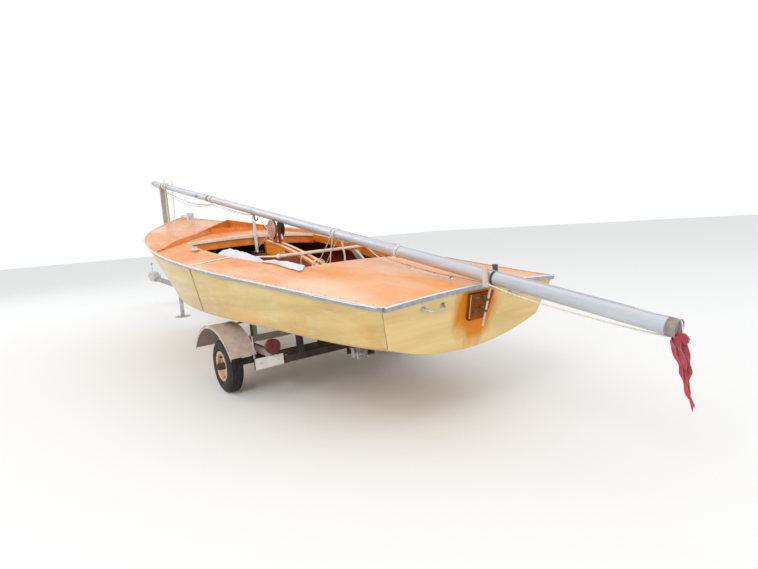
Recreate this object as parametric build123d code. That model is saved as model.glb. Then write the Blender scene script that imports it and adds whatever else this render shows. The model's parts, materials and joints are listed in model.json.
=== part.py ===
from build123d import *
from collections import namedtuple
from math import sqrt
import os

os.makedirs("parts", exist_ok=True)

# Sailing dinghy of varnished plywood on its two-wheel trailer, in millimetres.
# Stations are measured forward from the deck edge of the transom.
# +X points to the bow, +Y to port and +Z up, and the ground is at z = 0.

# Overall reach
mast_overhang = 1030
coupler_reach = 8400
middle = (coupler_reach - mast_overhang) / 2

# Hull sections as the boat sits. The rake is how far a section's top leans forward for each mm of height,
# so it is negative at the transom and positive at the stem.
Row = namedtuple("Row", "station sheer_half sheer_z chine_half chine_z keel_z rake")
rows = [
    Row(0, 667, 793, 587, 558, 444, -0.322),
    Row(900, 793, 863, 756, 571, 433, 0),
    Row(1800, 922, 942, 876, 595, 450, 0),
    Row(2700, 1015, 1048, 870, 613, 467, 0),
    Row(3600, 975, 1177, 730, 641, 500, 0),
    Row(4500, 735, 1302, 513, 700, 560, 0),
    Row(5200, 411, 1404, 268, 801, 661, 0.15),
    Row(5790, 14, 1514, 14, 923, 913, 0.434),
]
boat_length = rows[-1].station

# Plywood and timber of the boat
deck_radius = 7240
deck_thick = 6
bottom_thick = 10
side_thick = 8
transom_thick = 18
stem_deep = 90
frame_thick = 20
frame_deep = 55
floor_top = 560
chine_log = 25
keelson_wide = 110
keelson_deep = 22
beam_thick = 25
beam_deep = 100
carlin_thick = 20
carlin_deep = 76
board_thick = 12
board_wide = 105
board_gap = 12
board_short = 40
bearer_in = 110
frame_stations = [900, 2150, 4300]

# Cockpit opening
well_aft = 1270
well_seam = 2150
well_fore = 3150
well_aft_half = 400
well_seam_half = 620
well_fore_half = 690
nosing_thick = 22
nosing_rise = 6

# Rails and seam strips
rail_wide = 14
rail_deep = 24
rail_proud = 4
strip_wide = 38
strip_thick = 3
strip_short = 6

# Splash rail and the partner beam behind it
splash_apex = 3919
splash_end = 3030
splash_end_half = 1000
splash_apex_high = 110
splash_end_high = 10
splash_thick = 18
partner_station = 3600
partner_half = 300
partner_thick = 24
partner_high = 40

# Centreboard trunk, its caps and the board inside
trunk_aft = 1700
trunk_fore = 2820
trunk_aft_z = 857
trunk_mid_station = 2240
trunk_mid_z = 1008
trunk_fore_z = 1115
slot_half = 16
trunk_wall = 20
cap_wide = 36
cap_deep = 22
cap_fore = 2740
board_plate = 12
board_pivot = 2680
board_pivot_z = 560
pivot_radius = 10
fit_gap = 0.3
least_solid = 300

# Hoist reel over the fore end of the trunk
reel_station = 2570
reel_z = 1226
reel_radius = 90
reel_flange = 5
reel_drum = 12
reel_gap = 10
reel_black_radius = 80
drum_radius = 62
reel_axle = 9
cheek_long = 44
cheek_rise = 24

# Mast lying along the boat, its crutch and its post
mast_radius = 37.5
mast_wall = 3
mast_aft_z = 699.8
mast_slope = 0.1773
mast_fore = 7353
plug_long = 60
plug_proud = 14
sleeve_station = 4460
sleeve_long = 60
sleeve_thick = 3
crutch_station = -82
crutch_thick = 7
crutch_wide = 38
crutch_rise = 140
stem_rod_radius = 6
stem_rod_low = 190
rod_stand = 68
post_station = 6760
post_long = 65
post_wide = 92
post_ears = 12

# Fittings on the transom
pad_wide = 186
pad_foot = 139
pad_high = 158
pad_thick = 22
pad_drop = 12
gudgeon_drops = [16, 100]
gudgeon_wide = 34
gudgeon_high = 26
handle_span = 140
handle_side = 340
handle_drop = 48
handle_out = 42
handle_bar = 6
handle_foot = 16

# Fittings on the deck
bracket_station = 5400
bracket_wide = 84
bracket_long = 70
bracket_high = 112
bracket_plate = 6
bracket_pin = 8
fairlead_station = 2740
fairlead_side = 742
fairlead_long = 90
fairlead_wide = 34
fairlead_high = 34

# Prop under the mast, standing in the cockpit's fore end
prop_station = 3110
prop_radius = 16
prop_foot_z = 1000
prop_foot_wide = 112
prop_foot_thick = 24

# Tiller and hiking extension across the cockpit, each end as station, side and height
tiller_heel = (1955, -640, 1009.5)
tiller_knob = (2060, 240, 989)
extension_end = (2540, 310, 984)
tiller_radius = 15
extension_radius = 8
knob_radius = 22

# Folded sail on the port side of the cockpit: station, side, width, lowest and highest point
bundle_rows = [
    (1330, 325, 160, 570, 925),
    (1600, 350, 255, 560, 1000),
    (1950, 390, 310, 560, 975),
    (2400, 410, 340, 560, 1068),
    (2850, 410, 335, 560, 1100),
    (3080, 400, 200, 570, 1045),
]

# Trailer
beam_aft = 1120
beam_high = 60
beam_width = 70
beam_wall = 4
beam_aft_z = 262
beam_fore_z = 520
coupler_long = 450
axle_station = 1865
axle_square = 45
wheel_centre = 205
wheel_radius = 205
tyre_wide = 118
rim_radius = 102
rim_flange = 115
track_half = 838
hub_radius = 36
hub_barrel = 28
hub_cap_radius = 24
stub_radius = 14
cross_high = 50
cross_wide = 40
cross_stations = [1340, 2210]
spring_wide = 42
fender_crest_z = 520
fender_fore = 489
fender_fore_z = 285
fender_aft = 370
fender_aft_z = 335
fender_thick = 2
fender_wide = 190
fender_lip = 22
roller_stations = [1200, 3150, 4700]
roller_radius = 34
roller_long = 120
roller_axle = 8
roller_cheek = 6
bunk_half = 470
bunk_wide = 90
bunk_long = 980
bunk_thick = 40
lamp_radius = 52
lamp_thick = 34
lamp_half = 700
lamp_z = 413
plate_wide = 210
plate_high = 78
plate_thick = 2
jack_station = 6180
jack_tube = 32
jack_wall = 3
jack_leg_overlap = 130
jack_foot_radius = 110
jack_foot_thick = 8
jack_top = 760
coupler_lap = 60
sleeve_clear = 4
coupler_half = 60
ball_radius = 25.4
socket_deep = 44
latch_back = 120
latch_high = 260
latch_radius = 7
latch_foot = 40
latch_knob = 20
axle_half = 740
spring_half = 600
spring_clear = 20
spring_leaves = 3
spring_leaf = 7
spring_reach = 320
leaf_step = 90
hanger_long = 36
hub_long = 90
stub_gap = 1
bead_half = 46
rim_wall = 3
disc_out = 18
disc_radius = 62
nut_circle = 50
nut_hole = 7
bunk_station = 1775
post_square = 40
lamp_arm = 8
lamp_post = 30
guide_radius = 5
guide_top = 505
lamp_arm_reach = 835
fender_bar = 40
fender_bar_thick = 6
bracket_half = 24
pin_out = 8
plate_drop = 67
plate_centre = 725
rag_tail = 350


def at(station):
    return station - middle


def spot(row, y, z):
    return (at(row.station) - row.rake * (row.sheer_z - z), y, z)


def crown(row, y, drop=0):
    """Height of the deck's arc at a distance y from the centreline."""
    centre = row.sheer_z - sqrt(deck_radius**2 - row.sheer_half**2)
    return centre + sqrt(deck_radius**2 - y**2) - drop


def between(station):
    """A row at any station, straight between the two rows beside it."""
    for low, high in zip(rows, rows[1:]):
        if station <= high.station:
            share = (station - low.station) / (high.station - low.station)
            return Row(*[a + share * (b - a) for a, b in zip(low, high)])


def deck_z(station, y=0):
    row = between(station)
    return crown(row, y)


def face(points):
    """A face from corner points, where a tuple of three points is an arc."""
    edges = []
    for item in points:
        if len(item) == 3:
            edges.append(ThreePointArc(*item).edge())
        else:
            edges.append(Line(*item).edge())
    return Face(Wire(edges))


def hull_face(row):
    sheer = spot(row, row.sheer_half, row.sheer_z)
    chine = spot(row, row.chine_half, row.chine_z)
    far_chine = spot(row, -row.chine_half, row.chine_z)
    far_sheer = spot(row, -row.sheer_half, row.sheer_z)
    keel = spot(row, 0, row.keel_z)
    top = spot(row, 0, crown(row, 0))
    return face([(sheer, chine), (chine, keel, far_chine), (far_chine, far_sheer), (far_sheer, top, sheer)])


def deck_face(row, drop, reach=80, up=260):
    """Everything above an arc that lies a drop below the deck."""
    half = row.sheer_half + reach
    edge_z = crown(row, half, drop)
    port = spot(row, half, edge_z)
    starboard = spot(row, -half, edge_z)
    top = spot(row, 0, crown(row, 0, drop))
    high_starboard = spot(row, -half, row.sheer_z + up)
    high_port = spot(row, half, row.sheer_z + up)
    return face([(port, top, starboard), (starboard, high_starboard), (high_starboard, high_port),
                 (high_port, port)])


def floor_face(row, rise, reach=80, down=200):
    """Everything below an arc that lies a rise above the bottom's outer face, level beyond the chines."""
    sag = row.chine_z - row.keel_z
    radius = (row.chine_half**2 + sag**2) / (2 * sag)
    share = (radius - rise) / radius
    y = share * row.chine_half
    z = row.keel_z + radius - share * (radius - sag)
    half = row.sheer_half + reach
    low = row.keel_z - down
    corners = [(y, z), (half, z), (half, low), (-half, low), (-half, z), (-y, z)]
    corners = [spot(row, *corner) for corner in corners]
    lines = list(zip(corners, corners[1:]))
    return face([(corners[-1], spot(row, 0, row.keel_z + rise), corners[0])] + lines)


def side_face(row, inset, reach=240):
    """The space between the two sides' planes, each moved inwards, run on above and below."""
    flare = (row.sheer_half - row.chine_half) / (row.sheer_z - row.chine_z)
    top = row.sheer_half - inset + flare * reach
    foot = max(row.chine_half - inset - flare * reach, 2)
    high = row.sheer_z + reach
    low = row.chine_z - reach
    corners = [spot(row, top, high), spot(row, foot, low), spot(row, -foot, low), spot(row, -top, high)]
    return face(list(zip(corners, corners[1:] + corners[:1])))


def above(drop):
    return loft([deck_face(row, drop) for row in rows])


def below(rise, used=rows):
    return loft([floor_face(row, rise) for row in used])


def within(inset, used=rows):
    return loft([side_face(row, inset) for row in used])


def block(s0, s1, y0, y1, z0, z1):
    """A box from its limits: stations, sides and heights."""
    centre = Pos(at((s0 + s1) / 2), (y0 + y1) / 2, (z0 + z1) / 2)
    return centre * Box(abs(s1 - s0), abs(y1 - y0), abs(z1 - z0))


def rod(start, end, radius):
    """A round bar between two points given as station, y and z."""
    a = Vector(at(start[0]), start[1], start[2])
    b = Vector(at(end[0]), end[1], end[2])
    return Plane(origin=a, z_dir=b - a) * Cylinder(radius, (b - a).length,
                                                   align=(Align.CENTER, Align.CENTER, Align.MIN))


def across(station, z, y0, y1, radius):
    """A round bar that lies across the boat."""
    return rod((station, y0, z), (station, y1, z), radius)


def profile(points, y0, y1):
    """A plate that stands fore and aft, from its side outline of stations and heights."""
    lifted = [tuple((at(s), y0, z) for s, z in item) for item in points]
    return extrude(face(lifted), amount=y1 - y0, dir=(0, 1, 0))


def both(piece):
    """The piece and its mirror image on the other side."""
    return [piece, mirror(piece, about=Plane.XZ)]


def save(name, pieces):
    if not isinstance(pieces, list):
        pieces = [pieces]
    solids = [solid for piece in pieces for solid in piece.solids() if solid.volume > least_solid]
    shape = solids[0] if len(solids) == 1 else Compound(solids)
    shape.label = name
    export_step(shape, f"parts/{name}.step")


def well_prism(grow, s0, s1, z0=300, z1=1500):
    """The cockpit's plan, its curved sides moved outwards, run up and down."""
    aft = well_aft_half + grow
    seam = well_seam_half + grow
    fore = well_fore_half + grow
    port = ((at(well_aft), aft, z0), (at(well_seam), seam, z0), (at(well_fore), fore, z0))
    starboard = tuple((x, -y, z) for x, y, z in reversed(port))
    outline = face([port, (port[2], starboard[0]), starboard, (starboard[2], port[0])])
    prism = extrude(outline, amount=z1 - z0, dir=(0, 0, 1))
    return prism & block(s0, s1, -2000, 2000, z0, z1)


# Space inside and outside the hull, which slices the pieces out of one form
hull = loft([hull_face(row) for row in rows])
over_deck = above(deck_thick)
under_floor = below(bottom_thick)
between_sides = within(side_thick)
well = well_prism(0, well_aft, well_fore)
stern = Plane(origin=(at(0), 0, rows[0].sheer_z), x_dir=(0, -1, 0), z_dir=(-1, 0, rows[0].rake))
transom_zone = stern * Pos(0, 0, -transom_thick / 2) * Box(4000, 3000, transom_thick)
stem_plane = Plane(origin=(at(boat_length), 0, rows[-1].sheer_z), x_dir=(0, 1, 0),
                   z_dir=(1, 0, -rows[-1].rake))
stem_zone = stem_plane * Pos(0, 0, -stem_deep / 2) * Box(1000, 3000, stem_deep)

rest = hull - over_deck
transom = rest & transom_zone
stem = rest & stem_zone
rest = rest - transom_zone - stem_zone
bottom = rest & under_floor
rest = rest - under_floor
sides = rest - between_sides
inside = rest & between_sides
deck = (hull & over_deck) - well


def make_hull():
    slot = block(board_slot_aft, board_slot_fore, -slot_half, slot_half, 300, 700)
    save("bottom", bottom - slot)
    port, starboard = [block(-200, 6000, *limits, 0, 2000) for limits in ((0, 2000), (-2000, 0))]
    save("side_port", sides & port)
    save("side_starboard", sides & starboard)
    save("transom", transom)
    save("stem", stem)


def make_deck():
    save("deck_aft", deck & block(-300, well_seam, -2000, 2000, 500, 1600))
    save("deck_fore", deck & block(well_seam, 6000, -2000, 2000, 500, 1600))


def rail_face(row):
    """The rail's section on the port sheer, its inner face along the side's outer face."""
    flare = (row.sheer_half - row.chine_half) / (row.sheer_z - row.chine_z)
    low = row.sheer_z - rail_deep + rail_proud
    high = row.sheer_z + rail_proud
    inner_low = row.sheer_half - flare * (rail_deep - rail_proud) + fit_gap
    inner_high = row.sheer_half + flare * rail_proud + fit_gap
    corners = [spot(row, inner_low, low), spot(row, inner_low + rail_wide, low),
               spot(row, inner_high + rail_wide, high), spot(row, inner_high, high)]
    return face(list(zip(corners, corners[1:] + corners[:1])))


def make_rails():
    rail = loft([rail_face(row) for row in rows]) - hull
    save("rail_port", rail)
    save("rail_starboard", mirror(rail, about=Plane.XZ))
    save("rail_transom", transom_rail())


def transom_rail():
    """The rail across the transom's top edge, bent to the deck's arc."""
    row = rows[0]
    ends = row.sheer_half
    low = [spot(row, side, crown(row, side, rail_deep - rail_proud)) for side in (ends, 0, -ends)]
    high = [spot(row, side, crown(row, side, -rail_proud)) for side in (-ends, 0, ends)]
    outline = face([tuple(low), (low[2], high[0]), tuple(high), (high[2], low[0])])
    return extrude(outline, amount=rail_wide, dir=stern.z_dir)


def make_strips():
    half = strip_wide / 2
    row = between(well_seam)
    end = row.sheer_half - strip_short
    low = row.chine_z + bottom_thick + strip_short
    high = row.sheer_z - rail_deep - strip_short
    raised = hull.moved(Location((0, 0, strip_thick))) - hull
    on_deck = (raised & block(well_seam - half, well_seam + half, -end, end, 900, 1600)) - well
    widened = hull.moved(Location((0, strip_thick, 0))) - hull
    on_side = widened & block(well_seam - half / 2, well_seam + half / 2, 0, 2000, low, high)
    save("seam_strips", [on_deck] + both(on_side))


def make_beams():
    fore = inside & block(well_fore, well_fore + beam_thick, -2000, 2000, 400, 1600) & above(beam_deep)
    aft = inside & block(well_aft - beam_thick, well_aft, -2000, 2000, 400, 1600) & above(beam_deep)
    save("cockpit_beams", [fore, aft])
    ring = well_prism(carlin_thick, well_aft, well_fore) - well
    save("carlins", ring & inside & above(carlin_deep))
    sill = block(well_fore - nosing_thick, well_fore, -well_fore_half, well_fore_half, 800, 1600)
    sill = (sill & above(deck_thick + 16) & well) - above(-nosing_rise)
    save("cockpit_nosing", sill)


def make_splash():
    wall_foot = 60
    start_z = deck_z(splash_apex)
    end_z = deck_z(splash_end, splash_end_half)
    start = Vector(at(splash_apex), 0, 0)
    end = Vector(at(splash_end), splash_end_half, 0)
    along = end - start
    arm = Plane(origin=start, x_dir=along, z_dir=along.cross(Vector(0, 0, 1)))
    length = along.length
    outline = arm * Polygon(
        (0, start_z - wall_foot),
        (0, start_z + splash_apex_high),
        (length, end_z + splash_end_high),
        (length, end_z - wall_foot),
        align=None,
    )
    port = extrude(outline, amount=splash_thick)
    port = port & block(splash_end - 100, splash_apex + 100, 0, 2000, 500, 2000)
    starboard = mirror(port, about=Plane.XZ)
    save("splash_rail", (port + starboard) - hull)
    partner = block(partner_station, partner_station + partner_thick, -partner_half, partner_half, 900,
                    deck_z(partner_station) + partner_high)
    save("partner_beam", partner - hull)


def trunk_top(rise):
    """The trunk's curved top edge as three points, raised by a rise."""
    return (
        (trunk_aft, trunk_aft_z + rise),
        (trunk_mid_station, trunk_mid_z + rise),
        (trunk_fore, trunk_fore_z + rise),
    )


def trunk_cap(side):
    """The curved batten along one top edge of the trunk."""
    raised = trunk_top(cap_deep)
    lower = trunk_top(0)
    band = [raised, (raised[2], lower[2]), tuple(reversed(lower)), (lower[0], raised[0])]
    y0, y1 = sorted((side * slot_half, side * (slot_half + cap_wide)))
    return profile(band, y0, y1) & block(trunk_aft, cap_fore, -100, 100, 0, 2000)


def make_trunk():
    top = trunk_top(0)
    low = 400
    outline = [((trunk_aft, low), top[0]), top, (top[2], (trunk_fore, low)),
               ((trunk_fore, low), (trunk_aft, low))]
    outer = slot_half + trunk_wall
    solid = profile(outline, -outer, outer)
    cavity = block(trunk_aft + trunk_wall, trunk_fore - trunk_wall, -slot_half, slot_half, 300, 1500)
    cheek_zone = block(reel_station - cheek_long / 2, reel_station + cheek_long / 2, -outer, outer,
                       trunk_mid_z, reel_z + cheek_rise)
    cheeks = cheek_zone - block(2000, 4000, -slot_half, slot_half, 0, 2000)
    trunk = solid - cavity + cheeks
    trunk = (trunk & block(trunk_aft, trunk_fore, -100, 100, 700,
                           1500)) + (trunk & inside & trunk_foot) - keelson
    trunk = trunk - across(board_pivot, board_pivot_z, -200, 200, pivot_radius + fit_gap)
    trunk = trunk - across(reel_station, reel_z, -200, 200, reel_axle + fit_gap)
    save("trunk", trunk)
    save("trunk_caps", [trunk_cap(side) - cheek_zone for side in (-1, 1)])
    plate_top = trunk_top(-60)
    inset = trunk_wall + 12
    plate_low = 470
    outline = [
        ((trunk_aft + inset, plate_low), (trunk_aft + inset, plate_top[0][1])),
        ((trunk_aft + inset, plate_top[0][1]), plate_top[1], (trunk_fore - inset, plate_top[2][1])),
        ((trunk_fore - inset, plate_top[2][1]), (trunk_fore - inset, plate_low)),
        ((trunk_fore - inset, plate_low), (trunk_aft + inset, plate_low)),
    ]
    plate = profile(outline, -board_plate / 2, board_plate / 2)
    plate = plate + across(board_pivot, board_pivot_z, -slot_half - trunk_wall, slot_half + trunk_wall,
                           pivot_radius)
    save("centreboard", plate)


def make_reel():
    """A drum between two flanges on the port side and the black brake disc to starboard, on one axle."""
    outer = slot_half + trunk_wall + fit_gap
    parts = []
    start = outer
    for thick, radius in ((reel_flange, reel_radius), (reel_drum, drum_radius), (reel_flange, reel_radius)):
        parts.append(across(reel_station, reel_z, start, start + thick, radius))
        start = start + thick
    axle = across(reel_station, reel_z, -outer - reel_gap, start, reel_axle)
    save("hoist_reel", parts[0] + parts[1] + parts[2] + axle)
    black = across(reel_station, reel_z, -outer - reel_gap, -outer, reel_black_radius)
    black = black - across(reel_station, reel_z, -200, 200, reel_axle)
    save("reel_brake", black)


def make_inside():
    save("keelson", keelson)
    logs = (inside & below(bottom_thick + chine_log, rows[:-1])) - within(side_thick + chine_log, rows[:-1])
    logs = logs & block(60, 5150, -2000, 2000, 0, 2000)
    frames = []
    for station in frame_stations:
        row = between(station)
        slab = inside & block(station - frame_thick / 2, station + frame_thick / 2, -2000, 2000, 300, 1500)
        opening = block(station - 100, station + 100, -row.chine_half + frame_deep,
                        row.chine_half - frame_deep,
                        floor_top, row.sheer_z - frame_deep)
        frames.append(slab - opening - well_prism(carlin_thick, well_aft, well_fore, floor_top) - keelson
                      - trunk_zone - logs)
    save("chine_logs", logs)
    boards = []
    inner = slot_half + trunk_wall + board_gap
    for place in range(4):
        y0 = inner + place * (board_wide + board_gap)
        board = block(well_aft + board_short, well_fore - board_short, y0, y0 + board_wide, floor_top,
                      floor_top + board_thick)
        boards += both(board)
    bearers = []
    for station in (well_aft + bearer_in, well_fore - bearer_in):
        bearer = inside & block(station - frame_thick / 2, station + frame_thick / 2, -560, 560, 300,
                                floor_top)
        bearers.append(bearer - keelson - trunk_zone - step_zone)
    save("floorboards", boards)
    save("frames", frames + bearers)


def mast_z(station):
    return mast_aft_z + mast_slope * (station + mast_overhang)


def mast_line(s0, s1, radius):
    return rod((s0, 0, mast_z(s0)), (s1, 0, mast_z(s1)), radius)


def make_mast():
    tube = mast_line(mast_end + plug_proud, mast_fore, mast_radius)
    tube = tube - mast_line(-mast_overhang - 50, mast_fore + 50, mast_radius - mast_wall)
    save("mast", tube)
    plug = mast_line(mast_end, mast_end + plug_long, mast_radius - mast_wall)
    cap = mast_line(mast_end, mast_end + plug_proud, mast_radius)
    head = mast_line(mast_fore - plug_long, mast_fore, mast_radius - mast_wall)
    sleeve = mast_line(sleeve_station, sleeve_station + sleeve_long, mast_radius + sleeve_thick)
    sleeve = sleeve - mast_line(sleeve_station - 10, sleeve_station + sleeve_long + 10, mast_radius)
    save("mast_fittings", [plug + cap, head, sleeve])


def make_crutch():
    inner = mast_radius + 1
    outer = inner + crutch_thick
    base = mast_z(crutch_station) - mast_radius
    top = rows[0].sheer_z + crutch_rise
    half = crutch_wide / 2
    body = block(crutch_station - half, crutch_station + half, -outer, outer, base - crutch_thick - 4, top)
    gap = block(crutch_station - 100, crutch_station + 100, -inner, inner, mast_z(crutch_station), top + 10)
    lean = mast_line(crutch_station - 200, crutch_station + 200, mast_radius)
    body = body - gap - lean
    body = body - hull - transom_rail()
    stem_rod = stern * Pos(0, (base - rows[0].sheer_z - stem_rod_low) / 2, rod_stand)
    stem_rod = stem_rod * Rot(90, 0, 0) * Cylinder(stem_rod_radius, stem_rod_low + base - rows[0].sheer_z)
    save("mast_crutch", (body + stem_rod) - mast_line(-300, 300, mast_radius))
    pad = stern * Polygon(
        (-pad_wide / 2, -pad_drop),
        (pad_wide / 2, -pad_drop),
        (pad_foot / 2, -pad_drop - pad_high),
        (-pad_foot / 2, -pad_drop - pad_high),
        align=None,
    )
    save("rudder_pad", extrude(pad, amount=pad_thick, dir=stern.z_dir))
    eyes = []
    for drop in gudgeon_drops:
        plate = stern * Pos(0, -pad_drop - drop, (pad_thick + rod_stand + 12) / 2) * Box(
            gudgeon_wide, gudgeon_high, rod_stand + 12 - pad_thick)
        hole = stern * Pos(0, -pad_drop - drop, rod_stand) * Rot(90, 0, 0) * Cylinder(
            stem_rod_radius + fit_gap, gudgeon_high * 2)
        eyes.append(plate - hole)
    save("gudgeons", eyes)


def make_handles():
    handles = []
    for side in (-handle_side, handle_side):
        bar = stern * Pos(side, -handle_drop, handle_out)
        grip = bar * Rot(0, 90, 0) * Cylinder(handle_bar, handle_span - 40)
        piece = grip
        for end in (-1, 1):
            foot = stern * Pos(side + end * handle_span / 2, -handle_drop, 2) * Cylinder(handle_foot, 4)
            a = Vector(side + end * (handle_span / 2 - 20), -handle_drop, handle_out)
            b = Vector(side + end * handle_span / 2, -handle_drop, 2)
            leg = Plane(origin=a, z_dir=b - a) * Cylinder(handle_bar, (b - a).length,
                                                          align=(Align.CENTER, Align.CENTER, Align.MIN))
            knuckle = Pos(*a) * Sphere(handle_bar)
            piece = piece + foot + stern * leg + stern * knuckle
        handles.append(piece & (stern * Pos(0, 0, 100) * Box(3000, 2000, 200)))
    save("transom_handles", handles)


def make_fittings():
    base_z = deck_z(bracket_station)
    half = bracket_wide / 2
    long = bracket_long / 2
    plate = block(bracket_station - long, bracket_station + long, -half, half, base_z - 20,
                  base_z + bracket_plate)
    piece = plate
    for side in (-half, half - bracket_plate):
        cheek = block(bracket_station - long, bracket_station + long, side, side + bracket_plate,
                      base_z - 20,
                      base_z + bracket_high)
        piece = piece + cheek
    piece = piece + block(bracket_station + long - bracket_plate, bracket_station + long, -half, half, base_z - 20,
                          base_z + bracket_high)
    piece = piece - across(bracket_station, base_z + bracket_high - 26, -100, 100, bracket_pin)
    save("bow_bracket", piece - hull)
    top = deck_z(fairlead_station, fairlead_side)
    body = block(fairlead_station - fairlead_long / 2, fairlead_station + fairlead_long / 2,
                 fairlead_side - fairlead_wide / 2, fairlead_side + fairlead_wide / 2, top - 30,
                 top + fairlead_high)
    bite = fairlead_long / 2
    for end in (-1, 1):
        place = fairlead_station + end * bite
        body = body - rod((place, 0, top + fairlead_high * 0.5), (place, 2000, top + fairlead_high * 0.5),
                          fairlead_high * 0.5)
    save("fairleads", both(body - hull))


def make_prop():
    top = mast_z(prop_station) - mast_radius * sqrt(1 + mast_slope**2)
    stand = rod((prop_station, 0, prop_foot_z), (prop_station, 0, top + 20), prop_radius)
    stand = stand - mast_line(prop_station - 300, prop_station + 300, mast_radius)
    foot = across(prop_station, prop_foot_z, -prop_foot_wide / 2, prop_foot_wide / 2, prop_foot_thick / 2)
    save("mast_prop", stand + foot)
    save("mast_step", inside & step_zone - keelson)


def make_tiller():
    """The tiller lies across the cockpit's starboard edge and the trunk's caps,
    its extension on the sail."""
    stick = rod(tiller_heel, tiller_knob, tiller_radius)
    knob = Pos(at(tiller_knob[0]), tiller_knob[1], tiller_knob[2]) * Sphere(knob_radius)
    extension = rod(tiller_knob, extension_end, extension_radius)
    save("tiller", stick + knob + extension - deck - trunk_cap(-1) - trunk_cap(1))


def beam_z(station):
    share = (station - beam_aft) / (coupler_reach - beam_aft)
    return beam_aft_z + share * (beam_fore_z - beam_aft_z)


def make_trailer_frame():
    a = Vector(at(beam_aft), 0, beam_z(beam_aft))
    b = Vector(at(beam_end), 0, beam_z(beam_end))
    plane = Plane(origin=a, x_dir=(0, 1, 0), z_dir=b - a)
    outer = extrude(plane * Rectangle(beam_width, beam_high), amount=(b - a).length)
    inner = extrude(plane * Rectangle(beam_width - 2 * beam_wall, beam_high - 2 * beam_wall),
                    amount=(b - a).length)
    save("tongue_beam", (outer - inner) + roller_brackets())
    rail_low = frame_low()
    ends = cross_stations[0] - cross_wide / 2, cross_stations[1] + cross_wide / 2
    frame = None
    for station in cross_stations:
        cross = block(station - cross_wide / 2, station + cross_wide / 2, -spring_half, spring_half,
                      rail_low,
                      rail_low + cross_high)
        frame = cross if frame is None else frame + cross
    side_rails = [block(*ends, side * spring_half - cross_wide / 2, side * spring_half + cross_wide / 2,
                        rail_low,
                        rail_low + cross_high) for side in (-1, 1)]
    frame = frame + side_rails[0] + side_rails[1]
    arms = None
    start = cross_stations[0] - cross_wide / 2
    for side in (-1, 1):
        arm = block(start - lamp_arm, start, side * (spring_half - cross_wide / 2), side * lamp_arm_reach,
                    rail_low, rail_low + cross_high)
        post = block(start - lamp_arm, start, side * (lamp_half - lamp_post / 2),
                     side * (lamp_half + lamp_post / 2),
                     rail_low, lamp_z)
        guide_station = start - lamp_arm + guide_radius
        guide_side = side * (lamp_arm_reach - guide_radius)
        guide = rod((guide_station, guide_side, rail_low), (guide_station, guide_side, guide_top),
                    guide_radius)
        arm = arm + post + guide
        arms = arm if arms is None else arms + arm
    save("trailer_frame", frame - beam_space + bunk_posts() + arms)
    axle_low = wheel_centre - axle_square / 2
    axle = block(axle_station - axle_square / 2, axle_station + axle_square / 2, -axle_half, axle_half,
                 axle_low, axle_low + axle_square)
    for side in (-1, 1):
        axle = axle + across(axle_station, wheel_centre, side * axle_half,
                             side * (track_half + hub_long / 2),
                             stub_radius)
    seat = block(axle_station - axle_square / 2, axle_station + axle_square / 2, -beam_width / 2,
                 beam_width / 2,
                 axle_low + axle_square - 1, beam_z(axle_station))
    save("axle", (axle + seat) - beam_space)
    springs = []
    for side in (-1, 1):
        y0 = side * spring_half - spring_wide / 2
        y1 = side * spring_half + spring_wide / 2
        pack = None
        for leaf in range(spring_leaves):
            reach = spring_reach - leaf_step * leaf
            z0 = axle_low + axle_square + (spring_leaves - 1 - leaf) * spring_leaf
            plate = block(axle_station - reach, axle_station + reach, y0, y1, z0, z0 + spring_leaf)
            pack = plate if pack is None else pack + plate
        top = axle_low + axle_square + spring_leaves * spring_leaf
        for start in (-spring_reach, spring_reach - hanger_long):
            foot = axle_station + start
            pack = pack + block(foot, foot + hanger_long, y0, y1, top - 1, rail_low)
        springs.append(pack)
    save("springs", springs)


def frame_low():
    """Underside of the frame's rails, over the axle and its springs."""
    return wheel_centre + axle_square / 2 + spring_leaves * spring_leaf + spring_clear


def roller_z(station):
    """Height of a roller's axle, just under the keel."""
    return keel_under(station) - roller_radius - fit_gap


def roller_brackets():
    """Two cheeks for each keel roller, standing out from the tongue beam's sides."""
    brackets = None
    half = roller_long / 2 + fit_gap
    for station in roller_stations:
        centre = roller_z(station)
        low = beam_z(station) - beam_high / 4
        for side in (-1, 1):
            cheek = block(station - bracket_half, station + bracket_half, side * half,
                          side * (half + roller_cheek),
                          low, centre + bracket_half)
            spacer = block(station - bracket_half, station + bracket_half, side * beam_width / 2,
                           side * half,
                           low, beam_z(station) + beam_high / 4)
            piece = cheek + spacer - across(station, centre, -200, 200, roller_axle + fit_gap)
            brackets = piece if brackets is None else brackets + piece
    return brackets


def make_supports():
    rollers = []
    for station in roller_stations:
        centre = roller_z(station)
        roller = across(station, centre, -roller_long / 2, roller_long / 2, roller_radius)
        reach = roller_long / 2 + roller_cheek + pin_out
        rollers.append(roller + across(station, centre, -reach, reach, roller_axle))
    save("keel_rollers", rollers)
    bunks = []
    for side in (-1, 1):
        y = side * bunk_half
        board = block(bunk_station - bunk_long / 2, bunk_station + bunk_long / 2, y - bunk_wide / 2,
                      y + bunk_wide / 2, 300, 700)
        board = board - hull.moved(Location((0, 0, -fit_gap)))
        bunks.append(board & hull.moved(Location((0, 0, -fit_gap - bunk_thick))))
    save("bunks", bunks)


def bunk_posts():
    posts = None
    under = hull.moved(Location((0, 0, -fit_gap - bunk_thick - fit_gap)))
    for side in (-1, 1):
        y = side * bunk_half
        for station in cross_stations:
            post = block(station - post_square / 2, station + post_square / 2, y - post_square / 2,
                         y + post_square / 2, frame_low() + cross_high, 600) - under
            posts = post if posts is None else posts + post
    return posts


def keel_under(station):
    """Lowest point of the hull over a roller."""
    slice_of_hull = hull & block(station - roller_radius, station + roller_radius, -roller_long,
                                 roller_long, 0, 2000)
    return slice_of_hull.bounding_box().min.Z


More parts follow.
